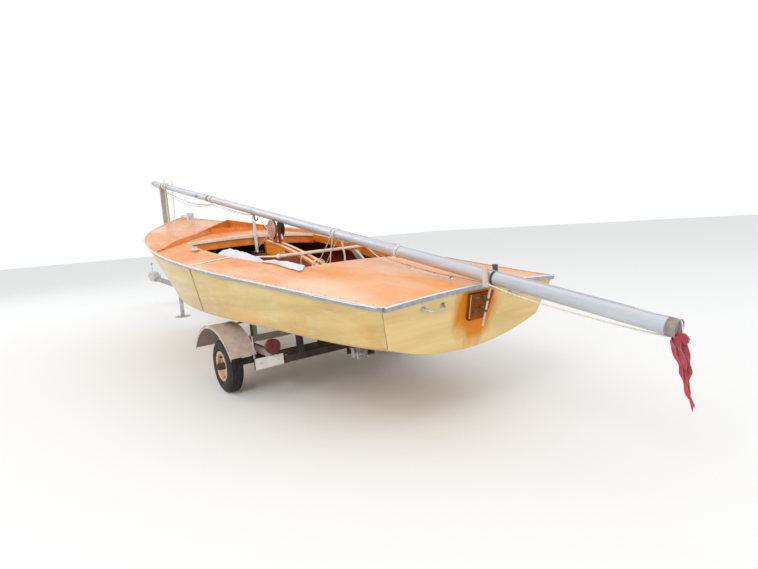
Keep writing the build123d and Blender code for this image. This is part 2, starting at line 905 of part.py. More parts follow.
def make_wheels():
    outer = wheel_radius
    half = tyre_wide / 2
    bead = rim_radius
    shoulder = 0.40 * tyre_wide
    for side, name in ((1, "port"), (-1, "starboard")):
        y = side * track_half
        carcass = [
            Line((bead, -bead_half), (rim_flange + 2, -bead_half)),
            ThreePointArc((rim_flange + 2, -bead_half), (bead + 52, -half), (outer - 12, -shoulder)),
            ThreePointArc((outer - 12, -shoulder), (outer, 0), (outer - 12, shoulder)),
            ThreePointArc((outer - 12, shoulder), (bead + 52, half), (rim_flange + 2, bead_half)),
            Line((rim_flange + 2, bead_half), (bead, bead_half)),
            Line((bead, bead_half), (bead, -bead_half)),
        ]
        section = make_face([edge.edge() for edge in carcass])
        ring = revolve(section, axis=Axis.Y, revolution_arc=360)
        wheel_place = Location((at(axle_station), y, wheel_centre))
        save(f"tyre_{name}", ring.moved(wheel_place))
        save(f"rim_{name}", (make_rim(side) + make_hub(side)).moved(wheel_place))


def make_rim(side):
    """A pressed wheel: two flanges, a drop-centre barrel and a dished disc with four nut holes."""
    flange = bead_half + fit_gap + rim_wall
    wall = rim_wall
    outer = [
        (rim_flange, -flange), (rim_flange, -flange + wall), (rim_radius - fit_gap, -flange + wall),
        (rim_radius - fit_gap, flange - wall), (rim_flange, flange - wall), (rim_flange, flange),
        (rim_radius - wall, flange), (rim_radius - wall, -flange),
    ]
    barrel = make_face(Polyline(*outer, close=True).edges())
    barrel = revolve(barrel, axis=Axis.Y, revolution_arc=360)
    out = side * disc_out
    step = side * 3
    dish = [
        (rim_radius - wall + 0.5, out - step * 4), (rim_radius - wall + 0.5, out - step * 3),
        (disc_radius, out + step),
        (hub_radius + 10, out + step * 3), (hub_barrel + fit_gap, out + step * 3),
        (hub_barrel + fit_gap, out + step * 2),
        (hub_radius + 9, out + step * 2), (disc_radius - 2, out), (rim_radius - wall - 8, out - step * 4),
    ]
    disc = make_face(Polyline(*dish, close=True).edges())
    disc = revolve(disc, axis=Axis.Y, revolution_arc=360)
    for turn in range(4):
        hole = Rot(0, 45 + 90 * turn, 0) * Pos(nut_circle, out + step * 2, 0) * Rot(90, 0,
                                                                                    0) * Cylinder(nut_hole, 40)
        disc = disc - hole
    return barrel + disc


def make_hub(side):
    """A hub that turns on the stub: barrel, dust cap and four nuts."""
    out = side * disc_out
    face_y = out + side * 9
    inner_y = -side * hub_long / 2
    barrel = Pos(0, (face_y + inner_y) / 2, 0) * Rot(90, 0, 0) * Cylinder(hub_barrel, abs(face_y - inner_y))
    cap = Pos(0, face_y + side * 12, 0) * Rot(90, 0, 0) * Cylinder(hub_cap_radius, 24)
    plate = Pos(0, out + side * 3.5, 0) * Rot(90, 0, 0) * Cylinder(nut_circle + 9, 5)
    hub = barrel + cap + plate
    for turn in range(4):
        nut = Rot(0, 45 + 90 * turn, 0) * Pos(nut_circle, out + side * 12, 0) * Rot(90, 0,
                                                                                    0) * Cylinder(9, 10)
        bolt = Rot(0, 45 + 90 * turn, 0) * Pos(nut_circle, out + side * 8, 0) * Rot(90, 0,
                                                                                    0) * Cylinder(5.5, 20)
        hub = hub + nut + bolt
    bore = stub_radius + stub_gap
    bore_long = hub_long + 2 * stub_gap
    bore_centre = side * stub_gap
    return hub - Pos(0, bore_centre - side * 20, 0) * Rot(90, 0, 0) * Cylinder(bore, bore_long + 40)


def fender_arc(drop):
    """The fender's arch over the wheel as three points, lowered by a drop."""
    return (
        (axle_station + fender_fore, fender_fore_z - drop),
        (axle_station, fender_crest_z - drop),
        (axle_station - fender_aft, fender_aft_z - drop),
    )


def fender_band(deep, y0, y1):
    """A strip under the arch, of that depth, from side y0 to side y1."""
    top = fender_arc(0)
    low = fender_arc(deep)
    return profile([top, (top[2], low[2]), tuple(reversed(low)), (low[0], top[0])], y0, y1)


def make_fenders():
    inner = track_half - fender_wide / 2
    outer = track_half + fender_wide / 2
    shell = fender_band(fender_thick, inner, outer) + fender_band(fender_lip, outer - fender_thick, outer)
    save("fender_port", shell)
    save("fender_starboard", mirror(shell, about=Plane.XZ))


def make_lamps():
    """Round tail lamps and the blank plate, on the frame's two arms."""
    back = cross_stations[0] - cross_wide / 2 - lamp_arm
    lamps = []
    for side in (-1, 1):
        y = side * lamp_half
        lamps.append(rod((back - fit_gap, y, lamp_z), (back - fit_gap - lamp_thick, y, lamp_z),
                         lamp_radius))
    save("tail_lamps", lamps)
    high = lamp_z - plate_drop
    save("number_plate", block(back - fit_gap - plate_thick, back - fit_gap, plate_centre - plate_wide / 2,
                               plate_centre + plate_wide / 2, high - plate_high, high))


def make_fender_brackets():
    """A flat bar under each fender's crest, turned down to the frame's side rail."""
    half = fender_bar / 2
    near = spring_half + cross_wide / 2
    high = fender_crest_z - fender_thick - fit_gap
    bar = block(axle_station - half, axle_station + half, near, track_half, high - fender_bar_thick, high)
    bar = bar - fender_band(fender_thick + fit_gap, near, track_half)
    leg = block(axle_station - half, axle_station + half, near, near + fender_bar_thick, frame_low() + 4,
                high - fender_bar_thick / 2)
    save("fender_brackets", both(bar + leg))


def make_tongue():
    z = beam_z(coupler_reach)
    start = coupler_reach - coupler_long
    nose_station = coupler_reach - coupler_half
    body = block(start, nose_station, -coupler_half, coupler_half, z - coupler_half, z + coupler_half)
    nose = rod((nose_station, 0, z - coupler_half), (nose_station, 0, z + coupler_half), coupler_half)
    knob_z = z + latch_high
    latch = rod((coupler_reach - latch_back, 0, z + latch_foot),
                (coupler_reach - latch_back / 2, 0, knob_z), latch_radius)
    latch = latch + Pos(at(coupler_reach - latch_back / 2), 0, knob_z) * Sphere(latch_knob)
    socket_top = z - coupler_half + socket_deep
    socket = rod((nose_station, 0, z - 200), (nose_station, 0, socket_top), ball_radius)
    dome = Pos(at(nose_station), 0, socket_top) * Sphere(ball_radius)
    sleeve = beam_space & block(beam_aft, beam_end + sleeve_clear, -200, 200, 0, 1000)
    save("coupler", body + nose + latch - socket - dome - sleeve)
    foot = beam_z(post_station) + beam_high / 2
    top = mast_z(post_station) + post_ears
    post = block(post_station - post_long / 2, post_station + post_long / 2, -post_wide / 2,
                 post_wide / 2, foot - 20, top)
    post = post - beam_space - mast_line(post_station - 300, post_station + 300, mast_radius + fit_gap)
    save("mast_post", post)


def make_jack():
    z = beam_z(jack_station)
    side = beam_width / 2 + jack_tube + 4
    outer_low = z - beam_high / 2 - 10
    tube = rod((jack_station, side, outer_low), (jack_station, side, jack_top), jack_tube)
    tube = tube - rod((jack_station, side, outer_low - 10), (jack_station, side, jack_top - 12),
                      jack_tube - jack_wall)
    clamp = block(jack_station - 40, jack_station + 40, beam_width / 2, side, z - 26, z + 26)
    clamp = clamp - rod((jack_station, side, 0), (jack_station, side, 1000), jack_tube - 1)
    leg_top = outer_low + jack_leg_overlap
    jack_leg_radius = jack_tube - jack_wall - fit_gap
    leg = rod((jack_station, side, jack_foot_thick), (jack_station, side, leg_top), jack_leg_radius)
    foot = rod((jack_station, side, 0), (jack_station, side, jack_foot_thick), jack_foot_radius)
    save("jack_leg", leg + foot)
    crank = across(jack_station, jack_top - 40, side + jack_tube - 2, side + jack_tube + 30, 6)
    crank = crank + rod((jack_station, side + jack_tube + 26, jack_top - 44),
                        (jack_station, side + jack_tube + 26, jack_top - 170), 6)
    crank = crank + across(jack_station, jack_top - 166, side + jack_tube + 26, side + jack_tube + 100, 9)
    save("jack_tube", tube + clamp + crank)


def sail_bundle():
    """The folded sail's outer form, lying on the floorboards."""
    ends = []
    for station, side, wide, low, high in bundle_rows:
        plane = Plane(origin=(at(station), side, (low + high) / 2), x_dir=(0, 1, 0), z_dir=(1, 0, 0))
        ends.append(plane * Ellipse(wide / 2, (high - low) / 2))
    bundle = loft([end.face() for end in ends])
    seat = floor_top + board_thick + fit_gap
    groove = rod(tiller_knob, extension_end, extension_radius + fit_gap)
    groove = groove + Pos(at(tiller_knob[0]), tiller_knob[1], tiller_knob[2]) * Sphere(knob_radius + fit_gap)
    return bundle & block(bundle_rows[0][0], bundle_rows[-1][0], 0, 1000, seat, 1500) - groove


def make_soft():
    save("sail_bundle", sail_bundle())
    knot = mast_line(-mast_overhang + 40, -mast_overhang + 110, mast_radius + 14)
    knot = knot - mast_line(-mast_overhang - 50, 0, mast_radius + fit_gap)
    z = mast_z(-mast_overhang + 75)
    tail = block(-mast_overhang + 60, -mast_overhang + 90, -42, 28, z - mast_radius - rag_tail,
                 z - mast_radius)
    save("rag", knot + (tail - mast_line(-mast_overhang - 50, 0, mast_radius + 7)))


def make_all():
    make_hull()
    make_deck()
    make_rails()
    make_strips()
    make_beams()
    make_splash()
    make_trunk()
    make_reel()
    make_inside()
    make_mast()
    make_crutch()
    make_handles()
    make_fittings()
    make_prop()
    make_tiller()
    make_trailer_frame()
    make_supports()
    make_wheels()
    make_fenders()
    make_lamps()
    make_fender_brackets()
    make_tongue()
    make_jack()
    make_soft()


board_slot_aft = trunk_aft + trunk_wall
board_slot_fore = trunk_fore - trunk_wall
trunk_zone = block(trunk_aft, trunk_fore, -slot_half - trunk_wall, slot_half + trunk_wall, 300, 1500)
trunk_foot = block(trunk_aft, trunk_fore, -100, 100, 300, 700)
step_zone = block(trunk_fore, well_fore + beam_thick, -slot_half - trunk_wall, slot_half + trunk_wall, 300,
                  prop_foot_z - prop_foot_thick / 2)
keelson = inside & below(bottom_thick + keelson_deep, rows[:-1])
keelson = keelson & block(300, 5000, -keelson_wide / 2, keelson_wide / 2, 300, 900)
keelson = keelson - block(board_slot_aft, board_slot_fore, -slot_half, slot_half, 300, 900)

mast_end = mast_radius * mast_slope / sqrt(1 + mast_slope**2) - mast_overhang
beam_end = coupler_reach - coupler_long + coupler_lap
beam_space = Plane(
    origin=(at(beam_aft), 0, beam_z(beam_aft)),
    x_dir=(0, 1, 0),
    z_dir=(coupler_reach - beam_aft, 0, beam_fore_z - beam_aft_z),
) * Pos(0, 0, coupler_reach / 2) * Box(beam_width, beam_high, coupler_reach)

make_all()
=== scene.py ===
"""Looks of the sailing dinghy on its trailer: finishes, sailcloth, rigging, ropes and small fittings."""
import json
from math import cos, pi, radians, sin
from random import Random

import bmesh
import bpy
from mathutils import Matrix, Vector, noise
from mathutils.bvhtree import BVHTree


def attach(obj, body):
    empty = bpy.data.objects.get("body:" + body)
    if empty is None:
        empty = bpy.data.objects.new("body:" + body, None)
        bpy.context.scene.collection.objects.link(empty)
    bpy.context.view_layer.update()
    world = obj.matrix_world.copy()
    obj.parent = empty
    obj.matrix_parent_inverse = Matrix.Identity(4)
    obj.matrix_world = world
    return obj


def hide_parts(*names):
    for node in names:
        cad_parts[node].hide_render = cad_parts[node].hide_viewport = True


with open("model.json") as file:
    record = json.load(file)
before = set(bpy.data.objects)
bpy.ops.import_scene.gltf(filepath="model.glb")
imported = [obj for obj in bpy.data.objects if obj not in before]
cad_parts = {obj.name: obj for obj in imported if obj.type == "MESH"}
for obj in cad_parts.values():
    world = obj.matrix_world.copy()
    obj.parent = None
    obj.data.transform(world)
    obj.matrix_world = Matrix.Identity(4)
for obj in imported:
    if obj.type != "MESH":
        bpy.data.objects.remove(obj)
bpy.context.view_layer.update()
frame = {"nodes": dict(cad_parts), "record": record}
nodes = frame["nodes"]
BOAT = "boat_and_trailer"

# Places and sizes in metres: stations run forward from the transom, and x is 0 at the station MIDDLE
MIDDLE = 3.685
MAST_AFT = -1.03
MAST_AFT_Z = 0.6998
MAST_SLOPE = 0.1773
MAST_RADIUS = 0.0375
STRAP_RADIUS = MAST_RADIUS + 0.0002
STRAP_THICK = 0.0022
ROD_OFF = 0.0460
ROD_RADIUS = 0.0060
GUDGEON_HEIGHTS = (0.757, 0.693)
AXLE = 1.865
WHEEL_SIDE = 0.838
WHEEL_Z = 0.205
SPRING_SIDE = 0.600
CROSS_AFT = 1.34
CROSS_FORE = 2.21
LAMP_SIDE = 0.700
LAMP_Z = 0.413
HANDS = ((1, "port"), (-1, "starboard"))
ABOVE = 3.0
BEHIND = -5.185
UP = Vector((0, 0, 1))
DOWN = Vector((0, 0, -1))
PORTWARD = Vector((0, 1, 0))
FORWARD = Vector((1, 0, 0))


def at(station):
    """The x of a station."""
    return station - MIDDLE


def mast_point(station, drop=0.0, side=0.0):
    """A point below the mast's middle line, or above it when the drop is less than 0."""
    height = MAST_AFT_Z + MAST_SLOPE * (station - MAST_AFT)
    return Vector((at(station), side, height - drop))


MAST_ALONG = (mast_point(1) - mast_point(0)).normalized()


# Finishes: every one is built from noise in object coordinates
def socket(node, name, value):
    node.inputs[name].default_value = value


def blend_colours(tree, share, first, second):
    """The first colour where the share is 0 and the second where it is 1."""
    node = tree.nodes.new("ShaderNodeMix")
    node.data_type = "RGBA"
    for target, source in ((node.inputs[0], share), (node.inputs[6], first), (node.inputs[7], second)):
        if isinstance(source, (tuple, float)):
            target.default_value = source if isinstance(source, float) else (*source, 1.0)
        else:
            tree.links.new(source, target)
    return node.outputs[2]


def cloud(tree, stretch, scale, detail=6.0, rough=0.55, shift=0.0):
    """Noise stretched along the axes: a small stretch makes long streaks."""
    place = tree.nodes.new("ShaderNodeTexCoord")
    turn = tree.nodes.new("ShaderNodeMapping")
    socket(turn, "Scale", stretch)
    socket(turn, "Location", (shift, shift * 0.7, shift * 1.3))
    grain = tree.nodes.new("ShaderNodeTexNoise")
    socket(grain, "Scale", scale)
    socket(grain, "Detail", detail)
    socket(grain, "Roughness", rough)
    tree.links.new(place.outputs["Object"], turn.inputs["Vector"])
    tree.links.new(turn.outputs["Vector"], grain.inputs["Vector"])
    return grain.outputs["Fac"]


def spread(tree, source, low, high, to_low=0.0, to_high=1.0):
    """A value stretched from its low and high marks to two others, and held there beyond them."""
    node = tree.nodes.new("ShaderNodeMapRange")
    socket(node, "From Min", low)
    socket(node, "From Max", high)
    socket(node, "To Min", to_low)
    socket(node, "To Max", to_high)
    tree.links.new(source, node.inputs["Value"])
    return node.outputs["Result"]


def maths(tree, operation, first, second):
    """Two values joined. The second is a number or a socket."""
    node = tree.nodes.new("ShaderNodeMath")
    node.operation = operation
    tree.links.new(first, node.inputs[0])
    if isinstance(second, float):
        node.inputs[1].default_value = second
    else:
        tree.links.new(second, node.inputs[1])
    return node.outputs["Value"]


def times(tree, first, second):
    return maths(tree, "MULTIPLY", first, second)


def part_of(tree, source, axis):
    """One axis of the object's coordinates or of its normal."""
    place = tree.nodes.new("ShaderNodeTexCoord")
    parts = tree.nodes.new("ShaderNodeSeparateXYZ")
    tree.links.new(place.outputs[source], parts.inputs["Vector"])
    return parts.outputs[axis]


def height_share(tree, low, high):
    """1 at the low height and 0 at the high one."""
    return spread(tree, part_of(tree, "Object", "Z"), low, high, 1.0, 0.0)


def along_share(tree, low, high):
    """0 at the first station and 1 at the second one."""
    return spread(tree, part_of(tree, "Object", "X"), at(low), at(high))


def side_share(tree, low, high):
    """0 at the first distance to port and 1 at the second one."""
    return spread(tree, part_of(tree, "Object", "Y"), low, high)


def facing(tree, side):
    """1 on faces that look up, look down, or look in toward the middle line."""
    if side == "up":
        return spread(tree, part_of(tree, "Normal", "Z"), 0.55, 0.85)
    if side == "down":
        return spread(tree, part_of(tree, "Normal", "Z"), -0.30, -0.60)
    inward = times(tree, part_of(tree, "Normal", "Y"), part_of(tree, "Object", "Y"))
    return spread(tree, inward, 0.0, -0.004)


def around(tree, middle, size):
    """1 near a place on the transom and 0 away from it, with a ragged edge."""
    place = tree.nodes.new("ShaderNodeTexCoord")
    turn = tree.nodes.new("ShaderNodeMapping")
    socket(turn, "Scale", (0.0, 1 / size[0], 1 / size[1]))
    socket(turn, "Location", (0.0, -middle[0] / size[0], -middle[1] / size[1]))
    far = tree.nodes.new("ShaderNodeVectorMath")
    far.operation = "LENGTH"
    tree.links.new(place.outputs["Object"], turn.inputs["Vector"])
    tree.links.new(turn.outputs["Vector"], far.inputs[0])
    ragged = spread(tree, cloud(tree, (1, 1, 0.35), 9.0, shift=5.3), 0.3, 0.7, -0.28, 0.28)
    return spread(tree, maths(tree, "ADD", far.outputs["Value"], ragged), 1.25, 0.72)


finishes = {}


def finish(name, dark, light, stretch=(1, 1, 1), scale=8.0, rough=(0.4, 0.6), metal=0.0, coat=0.0, bump=0.0,
           fine=90.0, patches=(), low_stain=None, sheen=0.0, coat_rough=0.06, shine=0.5, faces=(),
           spot=None, fore=None, inner_aft=None):
    """A material between two colours, with patches, stains, other colours on some faces and fine bumps.

    patches: colour, noise scale, where the noise starts and is full, strength, stretch
    low_stain: colour, height where it is full, height where it ends, strength
    spot: colour, middle across and up, size across and up, strength, on the transom
    fore: colour, station where it starts, station where it is full
    inner_aft: colour, two stations, two distances to port, strength
    faces: which faces, colour, strength; used for a red stain on the hull's inner faces, for painted
    highlights on upward faces and for painted shade on downward faces and on the crutch's inner faces
    """
    material = bpy.data.materials.new(name)
    material.use_nodes = True
    tree = material.node_tree
    shader = tree.nodes["Principled BSDF"]
    colour = blend_colours(tree, spread(tree, cloud(tree, stretch, scale), 0.3, 0.7), dark, light)
    for shift, (patch, patch_scale, low, high, strength, patch_stretch) in enumerate(patches, 1):
        share = spread(tree, cloud(tree, patch_stretch, patch_scale, shift=shift * 3.7), low, high)
        colour = blend_colours(tree, times(tree, share, strength), colour, patch)
    if low_stain:
        stain, low, high, strength = low_stain
        ragged = spread(tree, cloud(tree, (1.6, 1.6, 0.5), 3.0, shift=9.1), 0.42, 0.62)
        share = times(tree, times(tree, height_share(tree, low, high), ragged), strength)
        colour = blend_colours(tree, share, colour, stain)
    if spot:
        stain, middle, size, strength = spot
        colour = blend_colours(tree, times(tree, around(tree, middle, size), strength), colour, stain)
    if fore:
        tint, low, high = fore
        colour = blend_colours(tree, along_share(tree, low, high), colour, tint)
    if inner_aft:
        tint, along, across, strength = inner_aft
        ragged = spread(tree, cloud(tree, (0.5, 1.3, 1), 3.4, shift=6.4), 0.34, 0.56)
        share = times(tree, along_share(tree, *along), side_share(tree, *across))
        colour = blend_colours(tree, times(tree, times(tree, share, ragged), strength), colour, tint)
    for side, tint, strength in faces:
        colour = blend_colours(tree, times(tree, facing(tree, side), strength), colour, tint)
    tree.links.new(colour, shader.inputs["Base Color"])
    mottle = spread(tree, cloud(tree, (1, 1, 1), 14.0, shift=2.2), 0.3, 0.7, rough[0], rough[1])
    tree.links.new(mottle, shader.inputs["Roughness"])
    socket(shader, "Metallic", metal)
    socket(shader, "Coat Weight", coat)
    socket(shader, "Coat Roughness", coat_rough)
    socket(shader, "Sheen Weight", sheen)
    socket(shader, "Specular IOR Level", shine)
    if bump:
        relief = tree.nodes.new("ShaderNodeBump")
        socket(relief, "Strength", bump)
        socket(relief, "Distance", 0.002)
        tree.links.new(cloud(tree, stretch, fine, detail=3.0), relief.inputs["Height"])
        tree.links.new(relief.outputs["Normal"], shader.inputs["Normal"])
    finishes[name] = material


ALONG = (0.12, 1.6, 1.6)
EVEN = (1, 1, 1)
UPRIGHT = (2.2, 2.2, 0.25)
RUST = (0.23, 0.075, 0.02)
RED_STAIN = (0.32, 0.060, 0.012)

finish("pale_ply", (0.55, 0.385, 0.120), (0.72, 0.535, 0.205), ALONG, 7.0, (0.30, 0.46), coat=0.30,
       bump=0.08, fine=60.0, coat_rough=0.16, low_stain=((0.64, 0.27, 0.03), 0.56, 0.76, 0.70),
       faces=[("inward", RED_STAIN, 1.0)],
       patches=[((0.66, 0.36, 0.09), 1.1, 0.54, 0.80, 0.50, EVEN),
                ((0.74, 0.64, 0.34), 2.3, 0.55, 0.72, 0.45, (0.4, 1, 1)),
                ((0.80, 0.66, 0.36), 22.0, 0.56, 0.74, 0.40, (0.22, 1.5, 1.5)),
                ((0.38, 0.22, 0.06), 34.0, 0.58, 0.78, 0.42, (0.12, 1.4, 1.4))])
finish("bottom_ply", (0.46, 0.30, 0.10), (0.62, 0.46, 0.19), ALONG, 6.0, (0.35, 0.55), coat=0.2,
       bump=0.08, faces=[("up", RED_STAIN, 1.0)],
       patches=[((0.42, 0.19, 0.05), 1.6, 0.5, 0.75, 0.6, EVEN)])
finish("transom_ply", (0.65, 0.46, 0.180), (0.84, 0.640, 0.300), (1.6, 0.12, 1.6), 7.0, (0.40, 0.56),
       coat=0.04, bump=0.08, coat_rough=0.16, shine=0.2,
       spot=((0.68, 0.215, 0.0), (0.0, 0.675), (0.158, 0.190), 1.0),
       patches=[((0.70, 0.40, 0.10), 1.6, 0.52, 0.76, 0.5, EVEN),
                ((0.36, 0.20, 0.06), 26.0, 0.62, 0.80, 0.30, (1.4, 0.1, 1.4))])
# Deck varnish: the pale pink patches are a painted reflection, and the downward faces get painted shade
finish("deck_varnish", (0.80, 0.235, 0.030), (0.93, 0.375, 0.085), (0.07, 1.5, 1.5), 9.0, (0.28, 0.42),
       coat=0.22, bump=0.05, fine=70.0, coat_rough=0.10, shine=0.25,
       inner_aft=((0.92, 0.315, 0.022), (1.45, 0.95), (0.62, 0.36), 0.85),
       faces=[("down", (0.30, 0.10, 0.03), 1.0)],
       patches=[((0.96, 0.64, 0.42), 1.3, 0.43, 0.61, 0.82, (0.6, 1, 1)),
                ((0.88, 0.29, 0.02), 1.9, 0.54, 0.70, 0.70, (0.5, 1, 1)),
                ((0.46, 0.13, 0.02), 46.0, 0.60, 0.80, 0.35, (0.05, 1.6, 1.6)),
                ((0.40, 0.15, 0.05), 60.0, 0.70, 0.78, 0.35, EVEN)])
# Orange timber: the pale pink on upward faces is a painted highlight
finish("orange_timber", (0.74, 0.165, 0.006), (0.92, 0.29, 0.018), ALONG, 12.0, (0.30, 0.45),
       coat=0.22, bump=0.06, coat_rough=0.12, shine=0.35, faces=[("up", (0.96, 0.66, 0.44), 0.80)],
       patches=[((0.38, 0.09, 0.015), 40.0, 0.58, 0.78, 0.45, (0.08, 1.5, 1.5)),
                ((0.90, 0.42, 0.12), 2.6, 0.55, 0.75, 0.5, (0.5, 1, 1))])
# Splash rail timber: a darker copy of the orange timber, the darkening being painted shade
finish("shaded_rail_timber", (0.56, 0.135, 0.005), (0.76, 0.235, 0.016), ALONG, 12.0, (0.30, 0.45), coat=0.22,
       bump=0.06, coat_rough=0.12, shine=0.35,
       patches=[((0.30, 0.07, 0.01), 40.0, 0.58, 0.78, 0.45, (0.08, 1.5, 1.5))])
finish("brown_timber", (0.24, 0.042, 0.007), (0.44, 0.095, 0.018), ALONG, 11.0, (0.4, 0.6), coat=0.12,
       bump=0.1, patches=[((0.42, 0.17, 0.06), 3.0, 0.55, 0.75, 0.4, EVEN)])
finish("panel_timber", (0.86, 0.255, 0.010), (0.95, 0.38, 0.030), (0.2, 1.6, 1.6), 10.0, (0.25, 0.4),
       coat=0.6, bump=0.06, patches=[((0.30, 0.08, 0.02), 26.0, 0.56, 0.78, 0.5, (0.1, 1.5, 1.5))])
finish("pad_timber", (0.17, 0.036, 0.001), (0.30, 0.085, 0.005), UPRIGHT, 12.0, (0.7, 0.85), bump=0.08,
       shine=0.12, patches=[((0.10, 0.03, 0.008), 20.0, 0.56, 0.76, 0.5, UPRIGHT)])
finish("red_wood", (0.30, 0.10, 0.07), (0.52, 0.23, 0.17), EVEN, 18.0, (0.45, 0.65), bump=0.25,
       patches=[((0.62, 0.40, 0.33), 22.0, 0.56, 0.72, 0.6, EVEN)])
finish("cream_edge", (0.82, 0.65, 0.48), (0.94, 0.82, 0.69), ALONG, 14.0, (0.35, 0.5), coat=0.3,
       bump=0.06, patches=[((0.70, 0.42, 0.20), 7.0, 0.6, 0.8, 0.35, EVEN)])
finish("grey_wood", (0.28, 0.235, 0.19), (0.52, 0.455, 0.385), UPRIGHT, 16.0, (0.7, 0.9), bump=0.6,
       fine=60.0, patches=[((0.14, 0.11, 0.085), 34.0, 0.56, 0.72, 0.6, UPRIGHT)])
finish("plug_wood", (0.20, 0.165, 0.145), (0.36, 0.31, 0.275), UPRIGHT, 16.0, (0.7, 0.9), bump=0.4,
       fine=60.0, patches=[((0.12, 0.09, 0.075), 34.0, 0.56, 0.72, 0.5, UPRIGHT)])
# Rail aluminium: the near-white on upward faces is a painted highlight
finish("rail_aluminium", (0.27, 0.31, 0.35), (0.42, 0.46, 0.50), (0.5, 1.5, 1.5), 26.0, (0.30, 0.46),
       metal=0.55, bump=0.05, faces=[("up", (0.90, 0.92, 0.94), 0.9)],
       patches=[((0.17, 0.19, 0.21), 16.0, 0.6, 0.78, 0.5, (0.5, 1.5, 1.5)),
                ((0.40, 0.33, 0.24), 9.0, 0.62, 0.76, 0.4, EVEN)])
# Near-white bead along the rails' upper outer edges: a painted highlight line
finish("highlight_bead", (0.74, 0.76, 0.78), (0.90, 0.91, 0.92), EVEN, 20.0, (0.35, 0.5), metal=0.1,
       bump=0.04)
# Seam grey: the pale colour on upward faces is a painted highlight
finish("seam_grey", (0.24, 0.19, 0.13), (0.42, 0.36, 0.28), UPRIGHT, 18.0, (0.4, 0.6), metal=0.2,
       bump=0.06, faces=[("up", (0.88, 0.84, 0.78), 0.95)])
# Mast aluminium: the paler colour on upward faces is a painted highlight
finish("mast_aluminium", (0.44, 0.46, 0.50), (0.60, 0.62, 0.66), ALONG, 9.0, (0.30, 0.44), metal=0.35,
       coat=0.15, bump=0.04, faces=[("up", (0.74, 0.75, 0.80), 0.6)],
       patches=[((0.30, 0.30, 0.32), 5.0, 0.62, 0.78, 0.45, (0.3, 1, 1)),
                ((0.70, 0.70, 0.72), 14.0, 0.6, 0.74, 0.4, EVEN)])
# Crutch metal: faces that look in toward the middle line are near black as painted shade, as between the
# crutch's arms
finish("crutch_metal", (0.52, 0.42, 0.37), (0.74, 0.64, 0.60), UPRIGHT, 20.0, (0.45, 0.6), bump=0.12,
       faces=[("inward", (0.11, 0.075, 0.065), 1.0)],
       patches=[((0.30, 0.20, 0.14), 26.0, 0.58, 0.74, 0.6, UPRIGHT)])
finish("old_bronze", (0.10, 0.045, 0.015), (0.20, 0.105, 0.045), EVEN, 24.0, (0.5, 0.7), metal=0.3,
       bump=0.1, patches=[((0.40, 0.34, 0.28), 30.0, 0.6, 0.74, 0.5, EVEN)])
finish("white_metal", (0.66, 0.65, 0.62), (0.86, 0.85, 0.82), EVEN, 12.0, (0.35, 0.55), coat=0.2,
       bump=0.06, patches=[(RUST, 9.0, 0.62, 0.75, 0.7, EVEN),
                           ((0.42, 0.40, 0.36), 26.0, 0.58, 0.75, 0.4, EVEN)])
finish("grey_steel", (0.26, 0.245, 0.24), (0.42, 0.40, 0.39), EVEN, 9.0, (0.55, 0.75), metal=0.25,
       bump=0.2, patches=[(RUST, 6.0, 0.55, 0.68, 0.75, EVEN),
                          ((0.50, 0.49, 0.46), 18.0, 0.58, 0.72, 0.4, EVEN)])
# Trailer frame: near black aft and light grey forward of station 1.5; the forward tint is partly a lighter
# paint and partly painted light that offsets the shade under the hull
finish("frame_steel", (0.030, 0.020, 0.018), (0.065, 0.042, 0.034), EVEN, 9.0, (0.6, 0.8), metal=0.1,
       bump=0.2, fore=((0.56, 0.51, 0.48), 1.42, 1.50), patches=[(RUST, 6.0, 0.58, 0.72, 0.25, EVEN)])
# Coupler paint: the near-black downward faces are painted shade
finish("coupler_paint", (0.40, 0.395, 0.385), (0.64, 0.63, 0.61), EVEN, 14.0, (0.4, 0.6), coat=0.1,
       bump=0.08, faces=[("down", (0.05, 0.045, 0.045), 1.0)],
       patches=[((0.10, 0.08, 0.08), 16.0, 0.60, 0.68, 0.8, EVEN),
                (RUST, 9.0, 0.62, 0.75, 0.5, EVEN)])
finish("dark_steel", (0.035, 0.028, 0.024), (0.10, 0.07, 0.055), EVEN, 14.0, (0.6, 0.85), metal=0.3,
       bump=0.35, patches=[(RUST, 8.0, 0.52, 0.68, 0.8, EVEN)])
finish("galvanised", (0.36, 0.37, 0.375), (0.58, 0.59, 0.60), EVEN, 22.0, (0.32, 0.52), metal=0.75,
       bump=0.12, patches=[(RUST, 12.0, 0.57, 0.68, 0.85, EVEN)])
finish("bright_steel", (0.62, 0.62, 0.62), (0.82, 0.82, 0.83), EVEN, 20.0, (0.12, 0.3), metal=1.0,
       patches=[(RUST, 26.0, 0.62, 0.7, 0.9, EVEN)])
finish("black_plastic", (0.012, 0.012, 0.013), (0.035, 0.034, 0.033), EVEN, 18.0, (0.45, 0.65),
       bump=0.1, patches=[((0.09, 0.085, 0.08), 16.0, 0.6, 0.78, 0.4, EVEN)])
finish("tyre_rubber", (0.010, 0.010, 0.010), (0.030, 0.028, 0.026), EVEN, 20.0, (0.65, 0.85), bump=0.2,
       patches=[((0.085, 0.075, 0.062), 7.0, 0.52, 0.75, 0.5, EVEN)])
finish("rim_paint", (0.62, 0.38, 0.22), (0.82, 0.64, 0.46), EVEN, 16.0, (0.45, 0.65), bump=0.15,
       patches=[((0.42, 0.15, 0.045), 20.0, 0.53, 0.66, 0.8, EVEN),
                ((0.86, 0.76, 0.62), 34.0, 0.6, 0.72, 0.4, EVEN)])
